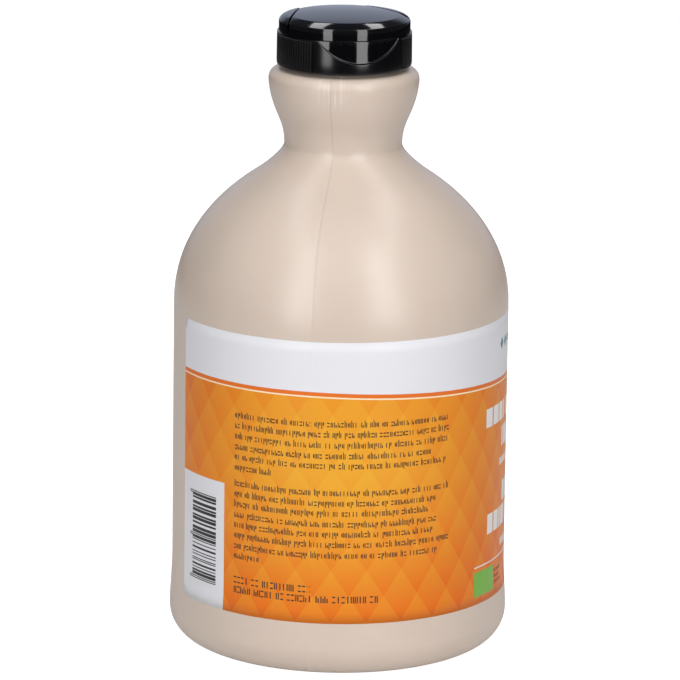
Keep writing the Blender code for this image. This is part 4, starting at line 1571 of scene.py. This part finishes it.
first_rib = CAP_FRONT + 180.0 - RIB_PITCH * (rib_count - 1) / 2
grow_piece(
    "cap_ribs",
    ribs,
    {
        "Rib": rib,
        "Count": rib_count,
        "First turn": math.radians(first_rib),
        "Pitch": math.radians(RIB_PITCH),
        "Material": cap_satin,
    },
)
print(rib_count, "ribs")

# %% [markdown]
# ## Flip lid and wings
# Two straight grooves divide the top of the cap into the flip lid in the middle and a fixed
# wing on either side. The lid has a low dome, a rim and a rounded slope down to its wall. The
# wings are fuller and stand a little prouder. Each of the three is built from rings inside
# its own outline: the height at a point comes from its own curve over the radius, and only
# the edges along the grooves get a small rounding.

# %% Crown of the cap
LID_RADIUS = 19.65 * MM
LID_WALL_TOP = 190.5 * MM
LID_RIM = (16.2 * MM, 191.77 * MM)
LID_DOME = 0.78 * MM
RIM_SLOPE = math.tan(math.radians(15.0))
WING_WALL_TOP = 189.7 * MM
WING_ROUND = (3.0 * MM, 2.02 * MM)
GROOVE_OFFSET = 15.0 * MM
GROOVE_TURN = math.radians(23.2)
GROOVE_GAP = 0.3 * MM
GROOVE_ROUND = 0.22 * MM
EDGE_BEVEL = 0.12 * MM
LID_BOTTOM = 186.99 * MM
WING_BOTTOM = DECK - 0.15 * MM
GATE = (-0.9 * MM, 8.7 * MM)
GATE_RADIUS = 1.3 * MM
GATE_DEPTH = 0.06 * MM
GATE_EDGE = 0.5 * MM


def lid_height(radius):
    """Height of the flip lid's top: a low dome, a rim, and a rounded slope down to the wall."""
    rim_radius, rim_height = LID_RIM
    if radius <= rim_radius:
        return rim_height + LID_DOME * (1 - (radius / rim_radius) ** 2)
    span = LID_RADIUS - rim_radius
    along_slope = radius - rim_radius
    bend = (rim_height - LID_WALL_TOP - RIM_SLOPE * span) / span ** 2
    return rim_height - RIM_SLOPE * along_slope - bend * along_slope ** 2


def wing_height(radius):
    """Height of a wing's top, which is fuller than the lid's edge and stands a little prouder."""
    width, height = WING_ROUND
    start = LID_RADIUS - width
    share = held((radius - start) / width)
    dome = LID_DOME * (1 - min(radius / start, 1.0) ** 2)
    return WING_WALL_TOP + height * math.sqrt(1 - share * share) + dome


def groove_distance(x, y):
    """Signed distance of a cap point from the nearer groove's middle; positive towards the lid."""
    turn = math.radians(CAP_FRONT)
    ahead = x * math.sin(turn) - y * math.cos(turn)
    sideways = abs(x * math.cos(turn) + y * math.sin(turn))
    return GROOVE_OFFSET - (sideways * math.cos(GROOVE_TURN) - ahead * math.sin(GROOVE_TURN))


def crown_height(x, y, gap_side, crown):
    """A crown's height at a point, less the wall's bevel, the groove's rounding and the gate mark."""
    radius = math.hypot(x, y)
    rim = 1 - min((LID_RADIUS - radius) / EDGE_BEVEL, 1.0)
    height = crown(radius) - 0.7 * EDGE_BEVEL * rim * rim
    clear = gap_side * groove_distance(x, y) - GROOVE_GAP
    if clear < GROOVE_ROUND:
        depth = GROOVE_ROUND - max(clear, 0.0)
        height -= GROOVE_ROUND - math.sqrt(max(GROOVE_ROUND ** 2 - depth ** 2, 0.0))
    return height - GATE_DEPTH * soft_step((GATE_RADIUS - math.dist((x, y), GATE)) / GATE_EDGE)


print("the lid is", round(lid_height(0.0) / MM, 2), "mm high in the middle")


# %% [markdown]
# ## Rings inside an outline
# The rings lie close together near the outline, where the edge is rounded, and open out
# towards the middle. Below the edge a few more rings go down the wall, and the last two draw
# in by a hair, so that the lower edge isn't knife-sharp.

# %% Build the flip lid and the wings
RING_INSETS = (0.0, 0.03, 0.08, 0.13, 0.2, 0.3, 0.45, 0.7, 1.1, 1.6, 2.2, 2.8, 3.2, 3.35, 3.5, 3.8, 4.4)
RING_SHARES = [step / 6 for step in range(5, -1, -1)]
WALL_RINGS = ((1.6, 0.0), (0.5, 0.0), (0.3, 0.0), (0.12, 0.0), (0.06, 0.0), (0.02, 0.02), (0.0, 0.06))


def shrunk(outline, centre, share):
    """The outline drawn to a share of its size round a centre."""
    return [(centre[0] + (x - centre[0]) * share, centre[1] + (y - centre[1]) * share) for x, y in outline]


def drawn_in(outline, centre, inset):
    """The outline with every point drawn the same length towards a centre."""
    return [shrunk([point], centre, 1 - inset / math.dist(point, centre))[0] for point in outline]


def ring_piece(name, outline, centre, gap_side, crown, bottom, material):
    """A closed body from rings inside an outline, with its top on the crown."""
    nearest = min(math.dist(point, centre) for point in outline)
    insets = [inset * MM for inset in RING_INSETS if inset * MM < 0.75 * nearest]
    rings = [drawn_in(outline, centre, inset) for inset in insets]
    rings += [shrunk(rings[-1], centre, share) for share in RING_SHARES]
    shape = bmesh.new()
    levels = []
    for ring in rings[::-1]:
        levels.append([shape.verts.new((x, y, crown_height(x, y, gap_side, crown))) for x, y in ring])
    for rise, inset in WALL_RINGS:
        ring = drawn_in(outline, centre, inset * MM)
        levels.append([shape.verts.new((x, y, bottom + rise * MM)) for x, y in ring])
    foot = shape.verts.new((*centre, bottom))
    last = levels[-1]
    for i in range(len(outline)):
        after = (i + 1) % len(outline)
        for upper, lower in zip(levels, levels[1:]):
            shape.faces.new((upper[i], lower[i], lower[after], upper[after]))
        shape.faces.new((last[i], foot, last[after]))
    bmesh.ops.remove_doubles(shape, verts=shape.verts, dist=0.003 * MM)
    mesh = bpy.data.meshes.new(name)
    shape.to_mesh(mesh)
    shape.free()
    return smooth_piece(name, mesh, material, 50.0)


def lid_outline():
    """Plan of the flip lid: the round wall, cut by both grooves."""
    points = []
    for turn in range(360):
        side = abs(math.sin(math.radians(turn)))
        ahead = math.cos(math.radians(turn))
        across = side * math.cos(GROOVE_TURN) - ahead * math.sin(GROOVE_TURN)
        reach = LID_RADIUS
        if across > 0:
            reach = min(reach, (GROOVE_OFFSET - GROOVE_GAP) / across)
        points.append(cap_point(turn, reach, 0.0)[:2])
    return points


def wing_outline(side):
    """Plan of a wing: the arc outside the groove, closed by the groove's own line."""
    arc_points = []
    for step in range(0, 1801):
        x, y, _ = cap_point(side * step * 0.1, LID_RADIUS, 0.0)
        if -groove_distance(x, y) > GROOVE_GAP:
            arc_points.append((x, y))
    arc_points = arc_points[::12] + [arc_points[-1]]
    start = Vector(arc_points[0])
    end = Vector(arc_points[-1])
    chord = [tuple(end.lerp(start, step / 26)) for step in range(1, 26)]
    outline = arc_points + chord
    return outline if side > 0 else outline[::-1]


ring_piece("cap_flip_lid", lid_outline(), (0.0, 0.0), 1.0, lid_height, LID_BOTTOM, cap_gloss)
for side, label in ((1, "right"), (-1, "left")):
    outline = wing_outline(side)
    centre = (sum(x for x, _ in outline) / len(outline), sum(y for _, y in outline) / len(outline))
    ring_piece("cap_wing_" + label, outline, centre, -1.0, wing_height, WING_BOTTOM, cap_gloss)

# %% [markdown]
# ## Hinge
# At the back a thin web joins the lid to the skirt. It is moulded in one with both and bows
# out a little when the lid is shut. It is a strip with rounded edges that spans the notch.

# %% Build the hinge
HINGE_HALF = 6.0 * MM
HINGE_OUTSIDE = 19.45 * MM
HINGE_INSIDE = 18.75 * MM
HINGE_LOW = 185.5 * MM
HINGE_HIGH = 187.6 * MM
HINGE_CREASE = 0.18 * MM
HINGE_CREASE_MIDDLE = 0.62
HINGE_CREASE_REACH = 0.14
HINGE_SIDE_ROUND = 0.25 * MM
HINGE_SIDE_START = 0.9

hinge_rows = []
for step in range(9):
    share = step / 8
    crease = HINGE_CREASE * math.exp(-((share - HINGE_CREASE_MIDDLE) / HINGE_CREASE_REACH) ** 2)
    hinge_rows.append((HINGE_LOW + (HINGE_HIGH - HINGE_LOW) * share, HINGE_OUTSIDE - crease))
hinge_rings = []
for step in range(13):
    aside = 2 * step / 12 - 1
    fall = HINGE_SIDE_ROUND * max(0.0, abs(aside) - HINGE_SIDE_START) / (1 - HINGE_SIDE_START)
    loop = [(height, radius - fall) for height, radius in hinge_rows]
    loop += [(HINGE_HIGH, HINGE_INSIDE), (HINGE_LOW, HINGE_INSIDE)]
    hinge_rings.append([
        cap_point(180.0 + math.degrees(math.asin(HINGE_HALF * aside / radius)), radius, height)
        for height, radius in loop
    ])
smooth_piece("cap_hinge", body_mesh("cap_hinge", [hinge_rings]), cap_gloss, 40.0)

# %% [markdown]
# ## Floor and light
# The jug stands on a plain floor in front of a white background. The camera sees both as
# white, and neither lights the jug as much as it looks: the floor is pale only round and
# behind the jug, and dark further off. Two tall softboxes stand in front of the jug, left and
# right of the camera, and they are what the glossy cap reflects. Two more hang over it and
# light the shoulder and the lid. The room is bright behind the jug, softer high up in front,
# and dark elsewhere, so the jug's sides fall off softly.

# %% Floor
FLOOR_HALF = 2.5
FLOOR_PALE = (0.65, 0.65, 0.65)
FLOOR_DARK = (0.04, 0.04, 0.04)
FLOOR_GLOW = 0.12
FLOOR_PALE_CENTRE = 0.25
FLOOR_PALE_FADE = (0.42, 0.80)

floor_mesh = bpy.data.meshes.new("floor")
floor_corners = [(x * FLOOR_HALF, y * FLOOR_HALF, 0.0) for x, y in ((-1, -1), (1, -1), (1, 1), (-1, 1))]
floor_mesh.from_pydata(floor_corners, [], [(0, 1, 2, 3)])
floor = bpy.data.objects.new("floor", floor_mesh)
scene.collection.objects.link(floor)
floor_white, floor_tree, floor_shader = plain_material(
    "floor_white", FLOOR_PALE, 0.9, Specular_IOR_Level=0.0, Emission_Color=(1.0, 1.0, 1.0, 1.0),
)
seen = add_node(floor_tree, "ShaderNodeLightPath").outputs["Is Camera Ray"]
floor_x, floor_y, _ = parts_of(floor_tree, add_node(floor_tree, "ShaderNodeTexCoord").outputs["Object"])
floor_back = calc(floor_tree, "SUBTRACT", floor_y, FLOOR_PALE_CENTRE)
floor_square = calc(floor_tree, "MULTIPLY", floor_back, floor_back)
floor_reach = calc(floor_tree, "SQRT", calc(floor_tree, "MULTIPLY_ADD", floor_x, floor_x, floor_square))
floor_near = remap(floor_tree, floor_reach, *FLOOR_PALE_FADE, 1.0, 0.0, "SMOOTHSTEP")
floor_glow = calc(floor_tree, "MAXIMUM", seen, calc(floor_tree, "MULTIPLY", floor_near, FLOOR_GLOW))
floor_tree.links.new(floor_glow, floor_shader.inputs["Emission Strength"])
floor_colour = mix_colour(floor_tree, floor_near, FLOOR_DARK, FLOOR_PALE)
floor_tree.links.new(floor_colour, floor_shader.inputs["Base Color"])
floor_mesh.materials.append(floor_white)
print("floor of", 2 * FLOOR_HALF, "metres")

# %% World
ROOM_DARK = 0.07
ROOM_BEHIND = 0.48
ROOM_ALOFT = 0.20
BEHIND_TINT = (0.90, 0.98, 1.25)
BEHIND_SIDE_FADE = (0.70, 0.95)
BEHIND_HIGH_FADE = (0.28, 0.50)
ALOFT_SIDE_FADE = (-0.2, 0.3)
ALOFT_HIGH_FADE = (0.17, 0.42)

world = bpy.data.worlds.new("studio")
scene.world = world
world.use_nodes = True
world_tree = world.node_tree
sky = world_tree.nodes["Background"]
sky_x, sky_y, sky_z = parts_of(world_tree, add_node(world_tree, "ShaderNodeTexCoord").outputs["Generated"])
level_square = calc(world_tree, "MULTIPLY", sky_y, sky_y)
level_length = calc(world_tree, "SQRT", calc(world_tree, "MULTIPLY_ADD", sky_x, sky_x, level_square))
backwards = calc(world_tree, "DIVIDE", sky_y, calc(world_tree, "MAXIMUM", level_length, 0.001))
in_back = remap(world_tree, backwards, *BEHIND_SIDE_FADE, 0.0, 1.0, "SMOOTHSTEP")
low = remap(world_tree, sky_z, *BEHIND_HIGH_FADE, 1.0, 0.0, "SMOOTHSTEP")
in_front = remap(world_tree, backwards, *ALOFT_SIDE_FADE, 1.0, 0.0, "SMOOTHSTEP")
high = remap(world_tree, sky_z, *ALOFT_HIGH_FADE, 0.0, 1.0, "SMOOTHSTEP")
behind = calc(world_tree, "MULTIPLY", in_back, low)
aloft = calc(world_tree, "MULTIPLY", in_front, high)
room = calc(world_tree, "MULTIPLY_ADD", behind, ROOM_BEHIND, ROOM_DARK)
room = calc(world_tree, "MULTIPLY_ADD", aloft, ROOM_ALOFT, room)
world_seen = add_node(world_tree, "ShaderNodeLightPath").outputs["Is Camera Ray"]
world_tree.links.new(calc(world_tree, "MAXIMUM", room, world_seen), sky.inputs["Strength"])
tint_share = calc(world_tree, "MULTIPLY", in_back, calc(world_tree, "SUBTRACT", 1.0, world_seen))
sky_colour = mix_colour(world_tree, tint_share, (1.0, 1.0, 1.0), BEHIND_TINT)
world_tree.links.new(sky_colour, sky.inputs["Color"])
print("world of", len(world_tree.nodes), "nodes")

# %% Softboxes
STRIP_LOW = 0.072
STRIP_HIGH = 1.2
STRIP_DISTANCE = 0.6
STRIP_RADIANCE = 5.2
OVERHEAD_BACK = 0.15
OVERHEAD_HEIGHT = 1.25
OVERHEAD_AIM = 1.1
OVERHEAD_YAW = math.radians(13.0)
OVERHEAD_SIZE = (0.16, 2.3)
LIGHT_SIDES = (("left", -28.7, 0.165, -0.42, 3.7), ("right", 30.8, 0.18, 0.48, 4.2))


def softbox(name, place, tilt, width, length, radiance):
    """A strip light that the camera can't see; its power is its radiance times pi and its area."""
    light = bpy.data.lights.new(name, "AREA")
    light.shape = "RECTANGLE"
    light.size = width
    light.size_y = length
    light.energy = radiance * math.pi * width * length
    lamp = bpy.data.objects.new(name, light)
    scene.collection.objects.link(lamp)
    lamp.location = place
    lamp.rotation_euler = tilt
    lamp.visible_camera = False


for side, azimuth, width, across, overhead_radiance in LIGHT_SIDES:
    turn = math.radians(azimuth)
    strip_middle = (STRIP_LOW + STRIP_HIGH) / 2
    place = (STRIP_DISTANCE * math.sin(turn), -STRIP_DISTANCE * math.cos(turn), strip_middle)
    upright = (math.pi / 2, 0.0, turn)
    softbox("strip_" + side, place, upright, width, STRIP_HIGH - STRIP_LOW, STRIP_RADIANCE)
    lean = Matrix.Rotation(math.atan2(across, OVERHEAD_AIM), 3, "Y")
    yaw = Matrix.Rotation(math.copysign(OVERHEAD_YAW, across), 3, "Z")
    overhead_place = (across, OVERHEAD_BACK, OVERHEAD_HEIGHT)
    softbox("overhead_" + side, overhead_place, (yaw @ lean).to_euler(), *OVERHEAD_SIZE, overhead_radiance)
scene.view_settings.view_transform = "Standard"
print("four strip lights")

# %% [markdown]
# ## What each piece stands for
# Every piece rides on the one body. The table names the CAD nodes that it takes the place of,
# which are hidden, and a material slot for its finish, which nothing in the script reads.

# %% Tie the pieces to the frame
PIECES = {
    "jug_wall": ("jug_plastic", ("jug",)),
    "label_film": ("label_film", ("label",)),
    "small_print": ("label_film", ()),
    "capital_print": ("label_film", ()),
    "label_bars": ("label_film", ()),
    "headings": ("label_film", ()),
    "heading_rule": ("label_film", ()),
    "badge": ("label_film", ()),
    "badge_lozenges": ("label_film", ()),
    "badge_print": ("label_film", ()),
    "teal_lozenges": ("label_film", ()),
    "cap_skirt": ("cap_plastic", ("cap_base",)),
    "cap_ribs": ("cap_plastic", ()),
    "cap_wing_left": ("cap_plastic", ()),
    "cap_wing_right": ("cap_plastic", ()),
    "cap_flip_lid": ("cap_plastic", ("cap_lid",)),
    "cap_hinge": ("cap_plastic", ()),
}
for label, (slot, nodes) in PIECES.items():
    piece = bpy.data.objects[label]
    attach(piece, "root")
    if nodes:
        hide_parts(*nodes)
print(len(PIECES), "pieces tied to the frame")
